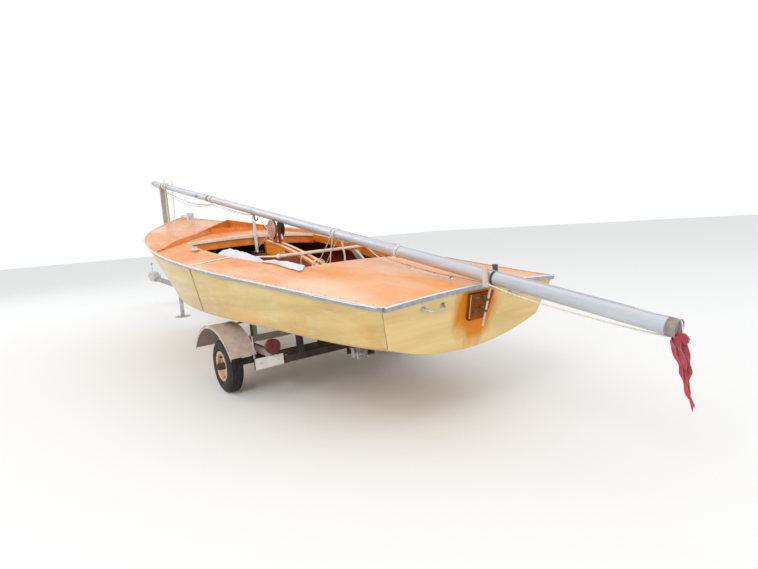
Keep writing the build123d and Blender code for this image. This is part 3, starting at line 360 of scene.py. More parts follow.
# Fender paint: the darker downward faces are painted shade
finish("fender_paint", (0.45, 0.35, 0.30), (0.64, 0.53, 0.475), EVEN, 10.0, (0.55, 0.75), bump=0.15,
       faces=[("down", (0.22, 0.16, 0.13), 0.8)],
       patches=[((0.33, 0.15, 0.075), 9.0, 0.56, 0.72, 0.5, EVEN),
                ((0.72, 0.66, 0.58), 22.0, 0.58, 0.74, 0.5, EVEN),
                ((0.16, 0.11, 0.08), 40.0, 0.64, 0.76, 0.5, EVEN)])
finish("lamp_red", (0.085, 0.004, 0.007), (0.19, 0.010, 0.016), EVEN, 30.0, (0.25, 0.35), coat=0.35,
       shine=0.3)
finish("plate_white", (0.70, 0.68, 0.64), (0.86, 0.85, 0.82), EVEN, 14.0, (0.35, 0.5), bump=0.05,
       patches=[((0.45, 0.36, 0.27), 8.0, 0.6, 0.76, 0.5, EVEN)])
finish("sailcloth", (0.62, 0.66, 0.72), (0.86, 0.88, 0.90), (0.6, 1, 1), 7.0, (0.6, 0.8), bump=0.2,
       fine=160.0, sheen=0.25, patches=[((0.70, 0.66, 0.60), 3.0, 0.58, 0.75, 0.5, EVEN)])
finish("red_cloth", (0.36, 0.016, 0.040), (0.62, 0.060, 0.095), EVEN, 9.0, (0.75, 0.92), bump=0.4,
       fine=220.0, sheen=0.5, patches=[((0.74, 0.20, 0.24), 14.0, 0.55, 0.75, 0.5, EVEN)])
finish("rope", (0.62, 0.55, 0.44), (0.88, 0.83, 0.73), EVEN, 90.0, (0.8, 0.95), bump=0.7, fine=420.0)
finish("white_rope", (0.62, 0.62, 0.60), (0.84, 0.84, 0.82), EVEN, 110.0, (0.7, 0.9), bump=0.6,
       fine=420.0)
# Near-black band: painted shade in the luff slot, and a rubber strap darkened as painted shade behind the
# crutch
finish("dark_band", (0.02, 0.018, 0.018), (0.07, 0.06, 0.055), EVEN, 60.0, (0.6, 0.8), bump=0.5,
       fine=260.0)

node_looks = {"bottom": "bottom_ply", "splash_rail": "shaded_rail_timber", "mast_fittings": "plug_wood",
              "transom": "transom_ply", "rudder_pad": "pad_timber", "gudgeons": "old_bronze",
              "mast_crutch": "crutch_metal", "seam_strips": "seam_grey",
              "trailer_frame": "frame_steel", "coupler": "coupler_paint"}
for place in frame["record"]["subparts"]:
    name = place["node"]
    look = finishes[node_looks.get(name, place["material_slot"])]
    shape = nodes[name].data
    shape.materials.clear()
    shape.materials.append(look)


# Makers of shapes
def piece(name, shape, look, body=BOAT, smooth=40.0):
    """A piece of the scene from a bmesh, riding on a body."""
    bmesh.ops.recalc_face_normals(shape, faces=shape.faces[:])
    data = bpy.data.meshes.new(name)
    shape.to_mesh(data)
    shape.free()
    data.materials.append(finishes[look])
    data.shade_smooth()
    data.set_sharp_from_angle(angle=radians(smooth))
    made = bpy.data.objects.new(name, data)
    bpy.context.scene.collection.objects.link(made)
    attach(made, body)
    return made


def side_of(direction):
    """A direction square to the given one."""
    away = UP if abs(direction.z) < 0.9 else Vector((1, 0, 0))
    return direction.cross(away).normalized()


def add_tube(shape, points, radius, sides=8, closed=False):
    """A round tube along points, added to a bmesh. The radius is a number or one for each point."""
    points = [Vector(p) for p in points]
    count = len(points)
    radii = radius if isinstance(radius, list) else [radius] * count
    rings = []
    across = None
    for i, point in enumerate(points):
        before = points[i - 1] if i or closed else point
        after = points[(i + 1) % count] if i + 1 < count or closed else point
        direction = (after - before).normalized()
        if across is None:
            across = side_of(direction)
        else:
            across = (across - direction * across.dot(direction)).normalized()
        other = direction.cross(across)
        rings.append([shape.verts.new(point + (across * cos(a) + other * sin(a)) * radii[i])
                      for a in (2 * pi * k / sides for k in range(sides))])
    pairs = list(zip(rings, rings[1:])) + ([(rings[-1], rings[0])] if closed else [])
    for low, high in pairs:
        for k in range(sides):
            shape.faces.new((low[k], low[(k + 1) % sides], high[(k + 1) % sides], high[k]))
    if not closed:
        shape.faces.new(rings[0][::-1])
        shape.faces.new(rings[-1])


def add_block(shape, middle, size, turn=None, bevel=0.0):
    """A block with its edges rounded."""
    made = bmesh.ops.create_cube(shape, size=1.0)["verts"]
    place = Matrix.Translation(Vector(middle)) @ (turn or Matrix.Identity(4))
    place = place @ Matrix.Diagonal((*size, 1.0))
    bmesh.ops.transform(shape, matrix=place, verts=made)
    if bevel:
        edges = list({edge for vert in made for edge in vert.link_edges})
        bmesh.ops.bevel(shape, geom=edges, offset=bevel, segments=2, profile=0.5, affect="EDGES",
                        material=-1)


def add_bolt(shape, point, normal, radius, high, sides=6, dome=True):
    """A bolt or screw head that stands on a surface."""
    normal = Vector(normal).normalized()
    turn = normal.to_track_quat("Z", "Y").to_matrix().to_4x4()
    place = Matrix.Translation(Vector(point) + normal * high * 0.45) @ turn
    top = radius * 0.7 if dome else radius
    bmesh.ops.create_cone(shape, cap_ends=True, segments=sides, radius1=radius, radius2=top, depth=high,
                          matrix=place)


def add_spin(shape, profile, centre, axis, steps):
    """A closed profile turned a full turn round an axis."""
    verts = [shape.verts.new(point) for point in profile]
    edges = [shape.edges.new(pair) for pair in zip(verts, verts[1:] + verts[:1])]
    bmesh.ops.spin(shape, geom=verts + edges, cent=centre, axis=axis, angle=2 * pi, steps=steps,
                   use_merge=True)


def add_sheet(shape, grid):
    """A sheet of faces over rows of points."""
    rows = [[shape.verts.new(p) for p in row] for row in grid]
    for low, high in zip(rows, rows[1:]):
        for a, b, c, d in zip(low, low[1:], high[1:], high):
            shape.faces.new((a, b, c, d))


def add_bar(shape, edges):
    """A solid bar from its long edges, each a row of points."""
    rows = [[shape.verts.new(p) for p in edge] for edge in edges]
    for first, second in zip(rows, rows[1:] + rows[:1]):
        for a, b, c, d in zip(first, first[1:], second[1:], second):
            shape.faces.new((a, b, c, d))
    shape.faces.new([row[0] for row in rows])
    shape.faces.new([row[-1] for row in rows][::-1])


def smooth_path(points, share=10):
    """Points along a Catmull-Rom curve through the given ones."""
    points = [Vector(p) for p in points]
    ends = [points[0] * 2 - points[1], *points, points[-1] * 2 - points[-2]]
    made = []
    for a, b, c, d in zip(ends, ends[1:], ends[2:], ends[3:]):
        for step in range(share):
            t = step / share
            made.append(0.5 * (2 * b + (c - a) * t + (2 * a - 5 * b + 4 * c - d) * t * t
                               + (3 * b - a - 3 * c + d) * t ** 3))
    return made + [points[-1]]


def tube(name, points, radius, look, sides=8):
    """One tube along points, as a piece of its own."""
    shape = bmesh.new()
    add_tube(shape, points, radius, sides)
    return piece(name, shape, look, smooth=60)


def ring(centre, along, radius, thick, share=28, lean=0.0):
    """Points of a loop round an axis, slanted by its lean."""
    along = Vector(along).normalized()
    across = side_of(along)
    other = along.cross(across)
    points = []
    for k in range(share):
        angle = 2 * pi * k / share
        outward = across * cos(angle) + other * sin(angle)
        points.append(Vector(centre) + along * (lean * sin(angle)) + outward * (radius + thick))
    return points


def cord_curve(name, points, radius, look):
    """A free cord as a NURBS curve through its control points."""
    data = bpy.data.curves.new(name, "CURVE")
    data.dimensions = "3D"
    spline = data.splines.new("NURBS")
    spline.points.add(len(points) - 1)
    for target, source in zip(spline.points, points):
        target.co = (*source, 1.0)
    spline.order_u = 3
    spline.use_endpoint_u = True
    spline.resolution_u = 6
    data.bevel_resolution = 2
    data.use_fill_caps = True
    data.materials.append(finishes[look])
    made = bpy.data.objects.new(name, data)
    bpy.context.scene.collection.objects.link(made)
    bpy.context.view_layer.update()
    line = made.to_mesh()
    places = [vert.co.copy() for vert in line.vertices]
    length = sum((b - a).length for a, b in zip(places, places[1:]))
    made.to_mesh_clear()
    data.bevel_depth = radius
    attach(made, BOAT)
    return made, length


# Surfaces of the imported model, to seat the small pieces on
def surface(*names):
    """A tree of the named nodes' faces, for lines cast at them."""
    joined = bmesh.new()
    for name in names:
        joined.from_mesh(nodes[name].data)
    made = BVHTree.FromBMesh(joined)
    joined.free()
    return made


deck = surface("deck_aft", "deck_fore")
rails = surface("rail_port", "rail_starboard")
caps = surface("trunk_caps")


def from_above(skin, x, side):
    """The point and the normal where a line dropped from above meets a surface."""
    point, normal, _, _ = skin.ray_cast(Vector((x, side, ABOVE)), DOWN)
    return point, normal


def on_deck(station, side, rise=0.0):
    """A point on the deck and the deck's normal there."""
    point, normal = from_above(deck, at(station), side)
    return point + UP * rise, normal


def deck_top(station, side):
    """Height of the deck, or None beside it or over the cockpit."""
    point = from_above(deck, at(station), side)[0]
    return point.z if point is not None else None


def on_rail(station, height, hand):
    """A point on a rail's outer side, and the normal there."""
    start = Vector((at(station), 3 * hand, height))
    point, normal, _, _ = rails.ray_cast(start, Vector((0, -hand, 0)))
    return point, normal


def on_caps(station, side):
    """A point on the trunk's caps."""
    return from_above(caps, at(station), side)[0]


def cap_low(station, hand):
    """Height of the cap's lower face, beside the trunk."""
    hits = []
    for shift in (0.0, -0.03, 0.03):
        start = Vector((at(station + shift), 0.040 * hand, 0.6))
        hits.append(caps.ray_cast(start, UP)[0])
    return next(hit.z for hit in hits if hit)


# Sail folded down on the port side of the cockpit: station, side, width, low edge and high edge
SAIL = [(1.33, 0.325, 0.160, 0.575, 0.885), (1.60, 0.350, 0.255, 0.575, 0.958),
        (1.95, 0.390, 0.310, 0.575, 0.938), (2.40, 0.410, 0.340, 0.575, 1.045),
        (2.85, 0.410, 0.335, 0.575, 1.078), (3.08, 0.400, 0.200, 0.575, 1.020)]
SAIL_FLOOR = 0.576
EXTENSION = (Vector((at(2.060), 0.240, 0.989)), Vector((at(2.540), 0.310, 0.984)))


def between(rows, station):
    """The row at a station, eased between the two rows beside it."""
    for low, high in zip(rows, rows[1:]):
        if station <= high[0]:
            share = (station - low[0]) / (high[0] - low[0])
            share = share * share * (3 - 2 * share)
            return [a + share * (b - a) for a, b in zip(low, high)]
    return list(rows[-1])


def ridged(place, scale):
    """Creases: sharp ridges of noise."""
    return 1 - abs(noise.noise(Vector(place) * scale)) * 2


def pressed(point):
    """Cloth pushed down where the tiller's knob and extension lie on it."""
    first, last = EXTENSION
    flat = Vector((point.x, point.y, 0))
    low = Vector((first.x, first.y, 0))
    line = Vector((last.x, last.y, 0)) - low
    share = min(1.0, max(0.0, (flat - low).dot(line) / line.length_squared))
    away = (flat - low - line * share).length
    room = 0.030 if (flat - low).length < 0.05 else 0.012
    limit = first.z + (last.z - first.z) * share - room + max(0.0, away - 0.02) * 1.4
    if away < 0.09 and point.z > limit:
        point.z = limit
    return point


def folded_sail(turns, inset, start, seed):
    """A sheet rolled loosely along the boat, with creases."""
    grid = []
    long = 96
    round_steps = 84
    for i in range(long + 1):
        station = SAIL[0][0] + (SAIL[-1][0] - SAIL[0][0]) * i / long
        _, side, wide, low, high = between(SAIL, station)
        row = []
        for k in range(round_steps + 1):
            t = k / round_steps
            angle = start + 2 * pi * turns * t
            shrink = 1 - inset * t
            crease = ridged((station * 1.7 + seed, angle * 0.55, seed), 1.9) * 0.5
            crease += ridged((station * 4.1, angle * 1.3 + seed, 2.0), 1.6) * 0.28
            crease += noise.noise(Vector((station * 9, angle * 2.5, seed))) * 0.22
            crease += ridged((station * 7.5, angle * 2.1 + seed, 5.0), 1.5) * 0.20
            relief = (crease - 0.6) * 0.036
            y = side + (wide / 2 * shrink * 0.99 + relief) * cos(angle)
            z = (low + high) / 2 + ((high - low) / 2 * shrink * 0.99 + relief) * sin(angle)
            row.append(pressed(Vector((at(station), y, max(z, SAIL_FLOOR + 0.004 * t)))))
        grid.append(row)
    return grid


def sail_flap():
    """A fold of the sail that laps over the cockpit's port edge onto the side deck."""
    grid = []
    rises = [(1.16, 0.003), (1.24, 0.014), (1.36, 0.034), (1.50, 0.040), (1.62, 0.026), (1.72, 0.010)]
    for i in range(57):
        station = 1.165 + 0.545 * i / 56
        rise = between(rises, station)[1]
        outward = (0.300 + 0.002 * k for k in range(200))
        edge = next(side for side in outward if deck_top(station, side) is not None)
        taper = min(1.0, max(0.0, (1.725 - station) / 0.07))
        start = max(edge, 0.400 + 0.65 * max(0.0, 1.30 - station))
        lap = max(0.016, (0.512 - start) * taper)
        tip = start + lap + 0.006 * noise.noise(Vector((station * 14, 1.0, 4.0)))
        low = deck_top(station, start + 0.004)
        high = deck_top(station, min(tip, 0.55))
        inner = edge <= start - 0.01
        row = []
        for share, lift in ((0.10, 0.55), (0.30, 0.95), (0.55, 1.0), (0.80, 0.72), (0.95, 0.40)):
            crease = 0.8 + 0.55 * noise.noise(Vector((station * 11, share * 3.0, 7.0)))
            height = low + (high - low) * share + 0.004 + rise * lift * crease
            row.append((start + (tip - start) * share, height))
        row.append((tip, high + 0.0085))
        row.append((tip - 0.004, high + 0.004))
        row.append(((start + tip) / 2, (low + high) / 2 + 0.0035))
        if inner:
            row.append((start - 0.002, low + 0.0045))
            row = [(start - 0.006, low + 0.006)] + row
        else:
            row = [(start - 0.040, low - 0.060), (start - 0.010, low + 0.002 + rise * 0.2)] + row
            row += [(start - 0.006, low + 0.002), (start - 0.022, low - 0.045)]
        points = smooth_path([(at(station), side, height) for side, height in row], 3)
        grid.append([points[round(k * (len(points) - 1) / 30)] for k in range(31)])
    return grid


sail_grid = folded_sail(1.32, 0.10, -0.30 * pi, 3.0)
flap_grid = sail_flap()
shape = bmesh.new()
add_sheet(shape, sail_grid)
add_sheet(shape, flap_grid)
sail = piece("folded_sail", shape, "sailcloth", smooth=75.0)
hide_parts("sail_bundle")


# Red rag knotted to the line at the mast's aft end
KNOT = Vector((at(-1.042), 0.004, 0.668))
RAG_LONG = 0.300


def rag_grid():
    """The rag's hanging part: folded across, and ragged at its end."""
    grid = []
    down = 60
    round_steps = 44
    across = Vector((0.86, 0.51, 0))
    depth = Vector((-0.51, 0.86, 0))
    widths = [(0, 0.024), (0.06, 0.032), (0.24, 0.027), (0.46, 0.021), (0.62, 0.013), (0.76, 0.008),
              (1.0, 0.0030)]
    for i in range(down + 1):
        t = i / down
        half = between(widths, t)[1]
        sway = 0.013 - 0.030 * t - 0.016 * t * t + 0.004 * sin(9 * t + 1)
        row = []
        for k in range(round_steps + 1):
            u = k / round_steps
            fold = sin(4.6 * pi * u + 2.2 * t) * 0.55 + sin(9.3 * pi * u + 5 * t + 1) * 0.25
            crumple = noise.noise(Vector((u * 5, t * 7, 3.0))) * 0.35
            point = KNOT + across * (half * (2 * u - 1) + sway + 0.003 * sin(23 * t + 9 * u))
            point += depth * (fold + crumple) * min(0.020, half * 0.75)
            ragged = 1 - 0.10 * abs(sin(5 * u + 0.7))
            point.z -= RAG_LONG * t * ragged - 0.010 * (1 - t) * sin(pi * u)
            row.append(point)
        grid.append(row)
    return grid


red_grid = rag_grid()
shape = bmesh.new()
add_sheet(shape, red_grid)
knot_lumps = [((0.002, 0.002, 0.006), (0.020, 0.015, 0.014)),
              ((-0.012, 0.004, -0.004), (0.014, 0.011, 0.018)),
              ((0.017, -0.004, 0.000), (0.016, 0.012, 0.015))]
for shift, size in knot_lumps:
    made = bmesh.ops.create_uvsphere(shape, u_segments=20, v_segments=14, radius=1.0)["verts"]
    for vert in made:
        wave = 1 + 0.22 * noise.noise(Vector(vert.co) * 2.6 + Vector(shift) * 90)
        vert.co = KNOT + Vector(shift) + Vector([a * b * wave for a, b in zip(vert.co, size)])
rag = piece("red_rag", shape, "red_cloth", smooth=75.0)
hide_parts("rag")


# Wheels: tyres with a ribbed tread in place of the plain ones, and the rims' details
TREAD = 0.2042
GROOVE = 0.1985
RIM = 0.1150
RIM_EDGE = 0.0505
BOSSES = 0.0815


def on_wheel(angle, radius, side):
    """A point round the axle."""
    return Vector((at(AXLE) + radius * cos(angle), side, WHEEL_Z + radius * sin(angle)))


def ribbed_tyre(hand, body, word):
    """A tyre turned round the axle from its section: each point has a radius and a distance to port."""
    wall = [(0.1175, 0.0462), (0.1260, 0.0530), (0.1520, 0.0588), (0.1800, 0.0560), (0.1945, 0.0475)]
    section = [(radius, -side) for radius, side in wall]
    for middle in (-0.0285, 0.0, 0.0285):
        section += [(TREAD, middle - 0.0062), (GROOVE, middle - 0.0034), (GROOVE, middle + 0.0034),
                    (TREAD, middle + 0.0062)]
    section += wall[::-1]
    shape = bmesh.new()
    profile = [on_wheel(0, radius, hand * WHEEL_SIDE + side) for radius, side in section]
    add_spin(shape, profile, on_wheel(0, 0, hand * WHEEL_SIDE), PORTWARD, 60)
    made = piece(f"ribbed_tyre_{word}", shape, "tyre_rubber", body, smooth=28)
    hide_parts(f"tyre_{word}")


def wheel_details(hand, body, word):
    """Pressed bosses on the rim, the hub's cap, the valve and the rim's rolled edges."""
    bosses = bmesh.new()
    for k in range(8):
        angle = 2 * pi * (k + 0.5) / 8
        place = Matrix.Translation(on_wheel(angle, BOSSES, hand * (WHEEL_SIDE + 0.0165)))
        place = place @ Matrix.Rotation(-angle, 4, "Y") @ Matrix.Diagonal((0.013, 0.009, 0.010, 1))
        bmesh.ops.create_uvsphere(bosses, u_segments=12, v_segments=8, radius=1.0, matrix=place)
    piece(f"rim_bosses_{word}", bosses, "rim_paint", body)
    cap = bmesh.new()
    start = hand * (WHEEL_SIDE + 0.016)
    add_tube(cap, [on_wheel(0, 0, start + hand * out) for out in (0.0, 0.044, 0.066, 0.072)],
             [0.030, 0.0275, 0.023, 0.012], 20)
    piece(f"hub_cap_{word}", cap, "dark_steel", body)
    valve = bmesh.new()
    foot = on_wheel(0.6, 0.093, hand * (WHEEL_SIDE + 0.006))
    add_tube(valve, [foot, foot + Vector((-0.004, hand * 0.030, -0.003))], 0.0042, 8)
    piece(f"valve_{word}", valve, "black_plastic", body)
    rims = bmesh.new()
    for side in (-RIM_EDGE, RIM_EDGE):
        points = [on_wheel(2 * pi * k / 56, RIM, hand * WHEEL_SIDE + side) for k in range(56)]
        add_tube(rims, points, 0.0028, 6, closed=True)
    piece(f"rim_edges_{word}", rims, "rim_paint", body)


for hand, word in HANDS:
    ribbed_tyre(hand, f"wheel_{word}", word)
    wheel_details(hand, f"wheel_{word}", word)


# Hull: seams at the transom's corners, beads and screws along the rails
stern = surface("transom")


def corner_line(hand):
    """Points down the corner between a side and the transom."""
    points = []
    for k in range(16):
        height = 0.565 + 0.0135 * k
        for step in range(600):
            start = Vector((BEHIND, hand * (0.72 - step * 0.0006), height))
            point = stern.ray_cast(start, FORWARD)[0]
            if point is not None:
                points.append(point + Vector((-0.0004, 0, 0)))
                break
    return points


def rail_edge(hand):
    """Points along the rail's upper outer edge."""
    points = []
    for k in range(113):
        station = 0.03 + 0.05 * k
        for step in range(140):
            point, normal = on_rail(station, 1.30 - step * 0.004, hand)
            if point is not None and normal.y * hand > 0.5:
                points.append(point + Vector((0, hand * 0.0002, -0.0015)))
                break
    return points


for hand, word in HANDS:
    tube(f"corner_seam_{word}", corner_line(hand), 0.0020, "seam_grey", sides=6)
# Beads along the rails' upper outer edges, coloured near white as a painted highlight
for hand, word in HANDS:
    tube(f"rail_bead_{word}", rail_edge(hand), 0.0032, "highlight_bead", sides=6)

for hand, word in HANDS:
    shape = bmesh.new()
    for k in range(36):
        station = 0.08 + 0.158 * k
        for step in range(70):
            z = 0.74 + step * 0.0115
            point, normal = on_rail(station, z, hand)
            if point is not None and normal.y * hand > 0.8:
                point, normal = on_rail(station, z + 0.011, hand)
                if point is not None and normal.y * hand > 0.8:
                    add_bolt(shape, point, normal, 0.0045, 0.0022, 10)
                break
    piece(f"rail_screws_{word}", shape, "bright_steel")

shape = bmesh.new()
for side in (-0.92, -0.84, -0.76, -0.68, 0.68, 0.76, 0.84, 0.92):
    point, normal = on_deck(2.15, side, 0.0031)
    for shift in (-0.011, 0.011):
        add_bolt(shape, point + Vector((shift, 0, 0)), normal, 0.0036, 0.0016, 10)
piece("seam_screws", shape, "bright_steel")

# Fillet at the foot of the splash rail, on its aft side
SPLASH_TIP = 3.919
SPLASH_SWEEP = 0.889
splash = surface("splash_rail")


def splash_fillet(hand):
    """Four long edges of the fillet: at the foot, up the rail, at the lip and on the deck."""
    rows = []
    for k in range(31):
        share = k / 30
        side = 0.020 + (0.945 - 0.020) * share
        station = SPLASH_TIP - SPLASH_SWEEP * side
        wide = 0.034 * min(1.0, (1 - share) / 0.2 + 0.15)
        first = Vector((at(station), side * hand, deck_top(station, side * hand) + 0.0006))
        start = Vector((at(station - 0.2), side * hand, first.z + 0.005))
        hit = splash.ray_cast(start, FORWARD)[0]
        if hit is not None:
            first.x = hit.x
        second = first + Vector((-0.747, -0.664 * hand, 0)) * wide
        second.z = deck_top(second.x - at(0), second.y) + 0.0006
        rows.append((first, first + UP * wide * 0.95, second + UP * 0.004, second))
    return [list(edge) for edge in zip(*rows)]


for hand, word in HANDS:
    shape = bmesh.new()
    add_bar(shape, splash_fillet(hand))
    piece(f"splash_fillet_{word}", shape, "shaded_rail_timber", smooth=30)

# Plates under the fairleads
shape = bmesh.new()
for hand in (1, -1):
    point, normal = on_deck(2.74, 0.742 * hand, 0.0012)
    add_block(shape, point, (0.150, 0.060, 0.0022), bevel=0.0008)
    for shift in (-0.062, 0.062):
        add_bolt(shape, point + Vector((shift, 0, 0.001)), normal, 0.005, 0.002, 10)
piece("fairlead_plates", shape, "white_metal")

# Plugs over the deck's fastenings, along the sheer
shape = bmesh.new()
for hand in (1, -1):
    for k in range(44):
        station = 0.10 + 0.125 * k
        edge = None
        for step in range(110):
            side = 1.03 - step * 0.009
            if deck_top(station, side * hand) is not None:
                edge = side - 0.022
                break
        if edge and edge > 0.06:
            point, normal = from_above(deck, at(station), edge * hand)
            if point is not None:
                add_bolt(shape, point, normal, 0.0042, 0.0008, 12, dome=False)
piece("deck_plugs", shape, "brown_timber")

# Panels on the trunk's sides below the caps
for hand, word in HANDS:
    shape = bmesh.new()
    stations = [2.35 + 0.041 * k for k in range(11)]
    low_z = [0.955 + 0.035 * k / 10 for k in range(11)]
    high_z = [cap_low(station, hand) - 0.002 for station in stations]
    add_bar(shape, [[(at(s), hand * (0.0361 + depth), z) for s, z in zip(stations, line)]
                    for depth, line in ((0.0, low_z), (0.006, low_z), (0.006, high_z), (0.0, high_z))])
    piece(f"trunk_panel_{word}", shape, "panel_timber")

# Hoist reel: wire on the drum, bolts and rings on its port face, ribs on the black disc and a white tag
REEL = Vector((at(2.570), 0, 1.226))
REEL_FACE = 0.0583
WIRE_RADIUS = 0.0017


def on_reel(angle, radius, side):
    """A point round the reel's axle."""
    return REEL + Vector((radius * cos(angle), side, radius * sin(angle)))


shape = bmesh.new()
for side in (0.0437, 0.0473, 0.0509):
    for size in (0.0620, 0.0650):
        turn = ring(on_reel(0, 0, side), PORTWARD, size, WIRE_RADIUS, share=40)
        add_tube(shape, turn, WIRE_RADIUS, 6, closed=True)
piece("reel_wire", shape, "galvanised")
shape = bmesh.new()
for k in range(6):
    add_bolt(shape, on_reel(2 * pi * k / 6, 0.074, REEL_FACE), PORTWARD, 0.0045, 0.004)
add_bolt(shape, on_reel(0, 0, REEL_FACE), PORTWARD, 0.014, 0.012)
piece("reel_bolts", shape, "galvanised")
shape = bmesh.new()
for size, thick in ((0.088, 0.0024), (0.066, 0.0020), (0.046, 0.0020), (0.028, 0.0020)):
    add_tube(shape, ring(on_reel(0, 0, REEL_FACE), PORTWARD, size, 0.0, share=44), thick, 6, closed=True)
piece("reel_rings", shape, "cream_edge")
shape = bmesh.new()
for k in range(6):
    angle = 2 * pi * k / 6 + 0.3
    turn = Matrix.Rotation(-angle, 4, "Y")
    add_block(shape, on_reel(angle, 0.046, -0.0483), (0.046, 0.004, 0.010), turn, 0.0015)
add_bolt(shape, on_reel(0, 0, -0.0463), -PORTWARD, 0.022, 0.018, 16)
piece("reel_ribs", shape, "black_plastic")
shape = bmesh.new()
add_block(shape, (at(2.528), -0.026, 1.150), (0.006, 0.018, 0.052), Matrix.Rotation(0.16, 4, "Y"), 0.002)
piece("reel_tag", shape, "white_metal")

# Mast: luff groove, sleeve rivets, straps and end fittings
shape = bmesh.new()
for hand in (1, -1):
    start = mast_point(-0.95, -MAST_RADIUS - 0.0005, hand * 0.0075)
    end = mast_point(7.30, -MAST_RADIUS - 0.0005, hand * 0.0075)
    add_tube(shape, [start, end], 0.0028, 6)
piece("luff_groove", shape, "mast_aluminium")
# A dark line along the luff groove's slot, as painted shade inside the slot
shape = bmesh.new()
slot_drop = 0.0008 - MAST_RADIUS
add_tube(shape, [mast_point(-0.94, slot_drop), mast_point(7.29, slot_drop)], 0.0024, 6)
piece("luff_slot_shade", shape, "dark_band")
SLEEVE_RADIUS = 0.0403
shape = bmesh.new()
for station in (4.47, 4.51):
    for k in range(8):
        angle = 2 * pi * k / 8 + 0.2
        across = PORTWARD * cos(angle) + MAST_ALONG.cross(PORTWARD) * sin(angle)
        add_bolt(shape, mast_point(station) + across * SLEEVE_RADIUS, across, 0.0035, 0.0020, 10)
piece("sleeve_rivets", shape, "bright_steel")


def strap(name, station, wide, look):
    """A flat band round the mast."""
    made = bmesh.new()
    first = mast_point(station)
    last = first + MAST_ALONG * wide
    low = PORTWARD * STRAP_RADIUS
    high = PORTWARD * (STRAP_RADIUS + STRAP_THICK)
    add_spin(made, [first + low, first + high, last + high, last + low], first, MAST_ALONG, 32)
    return piece(name, made, look)


strap("prop_strap", 3.085, 0.045, "mast_aluminium")
strap("plug_sleeve", -1.0285, 0.042, "plug_wood")
# Dark band behind the crutch: a rubber strap, darkened as painted shade where the crutch meets the mast
strap("crutch_strap_and_shade", -0.119, 0.014, "dark_band")
strap("gooseneck_band", 6.35, 0.035, "galvanised")
strap("spreader_band", 4.86, 0.030, "mast_aluminium")
strap("tip_band", 7.24, 0.040, "galvanised")

shape = bmesh.new()
for hand in (1, -1):
    add_block(shape, mast_point(6.367, 0, hand * 0.052), (0.034, 0.026, 0.004), bevel=0.001)
    add_block(shape, mast_point(4.875, 0, hand * 0.049), (0.028, 0.020, 0.030), bevel=0.002)
piece("mast_tangs", shape, "galvanised")


def wraps(name, station, room, thick, turns, slant, look="rope"):
    """Rope wound tightly round the mast, as slanted loops side by side."""
    made = bmesh.new()
    for k in range(turns):
        shift = (k - (turns - 1) / 2) * thick * 2.04
        centre = mast_point(station) + MAST_ALONG * shift
        loop = ring(centre, MAST_ALONG, MAST_RADIUS + room, thick, lean=slant)
        add_tube(made, loop, thick, 8, closed=True)
    return piece(name, made, look)


wraps("mast_lashing", 1.475, 0.0, 0.0036, 4, 0.004)
wraps("mast_lashing_fore", 1.515, 0.0, 0.0034, 2, -0.007, "white_rope")
wraps("post_lashing", 6.76, 0.001, 0.005, 4, 0.006, "white_rope")
wraps("stay_lashing", 4.36, 0.003, 0.0032, 3, 0.004, "white_rope")
wraps("tip_lashing", 6.62, 0.0, 0.006, 5, 0.012)
wraps("aft_lashing", 0.70, 0.0, 0.0036, 3, 0.006, "white_rope")

# Lashing legs from the mast down to the trunk's caps and into the cockpit
legs = [(mast_point(1.49, 0.012, 0.040), on_caps(1.76, 0.034) + UP * 0.004),
        (mast_point(1.50, 0.012, -0.040), on_caps(1.74, -0.034) + UP * 0.004),
        (mast_point(1.48, 0.012, 0.036), Vector((at(1.455), 0.105, 0.790)))]
for k, (start, foot) in enumerate(legs):
    leg = smooth_path([start, start.lerp(foot, 0.5) + Vector((0.004 * k, 0.004, -0.006)), foot], 6)
    tube(f"lashing_leg_{k}", leg, 0.0036, "rope")
top = on_caps(1.80, 0.03).z
loop = ring((at(1.80), 0, top - 0.024), (1, 0, 0), 0.0, 0.058, share=32)
loop = [Vector((p.x + 0.004 * sin(3 * i), p.y, max(p.z, top - 0.052))) for i, p in enumerate(loop)]
shape = bmesh.new()
for shift in (-0.006, 0.004, 0.013):
    add_tube(shape, [p + Vector((shift, 0, 0)) for p in loop], 0.0044, 8, closed=True)
piece("cap_lashing", shape, "rope")

# Standing rigging lashed along the mast, and ropes that hang free
for k, (side, drop) in enumerate(((0.018, 0.018), (-0.014, 0.024), (0.004, 0.040))):
    route = [mast_point(7.22, 0.040, side), mast_point(6.70, 0.060 + drop, side),
             mast_point(6.00, 0.075 + drop * 2, side), mast_point(5.20, 0.095 + drop * 2, side * 0.6),
             mast_point(4.70, 0.075 + drop, side), mast_point(4.36, 0.060, side)]
    made, length = cord_curve(f"stay_{k}", route, 0.0030, "galvanised")
for k, (side, drop) in enumerate(((0.030, 0.010), (-0.026, 0.016))):
    route = [mast_point(4.30, 0.050, side), mast_point(4.00, 0.056 + drop, side),
             mast_point(3.50, 0.060 + drop, side), mast_point(3.14, 0.046, side)]
    made, length = cord_curve(f"stay_end_{k}", route, 0.0024, "galvanised")

# Pale rods that stand on the tongue and hold the mast from both sides
shape = bmesh.new()
tongue = surface("tongue_beam")
for side, foot, head, high in ((0.044, 6.54, 6.43, 2.150), (-0.044, 6.58, 6.33, 2.120)):
    ground = from_above(tongue, at(foot), side * 0.6)[0]
    add_tube(shape, [(at(foot), side, ground.z + 0.003), (at(head), side, high)], 0.0070, 8)
add_block(shape, (at(6.56), 0, ground.z + 0.004), (0.09, 0.125, 0.008), bevel=0.002)
piece("mast_rods", shape, "rope")
shape = bmesh.new()
add_tube(shape, ring(mast_point(6.50, -0.050), UP, 0.036, 0.0, share=24), 0.0040, 8, closed=True)
piece("rod_loop", shape, "white_rope")

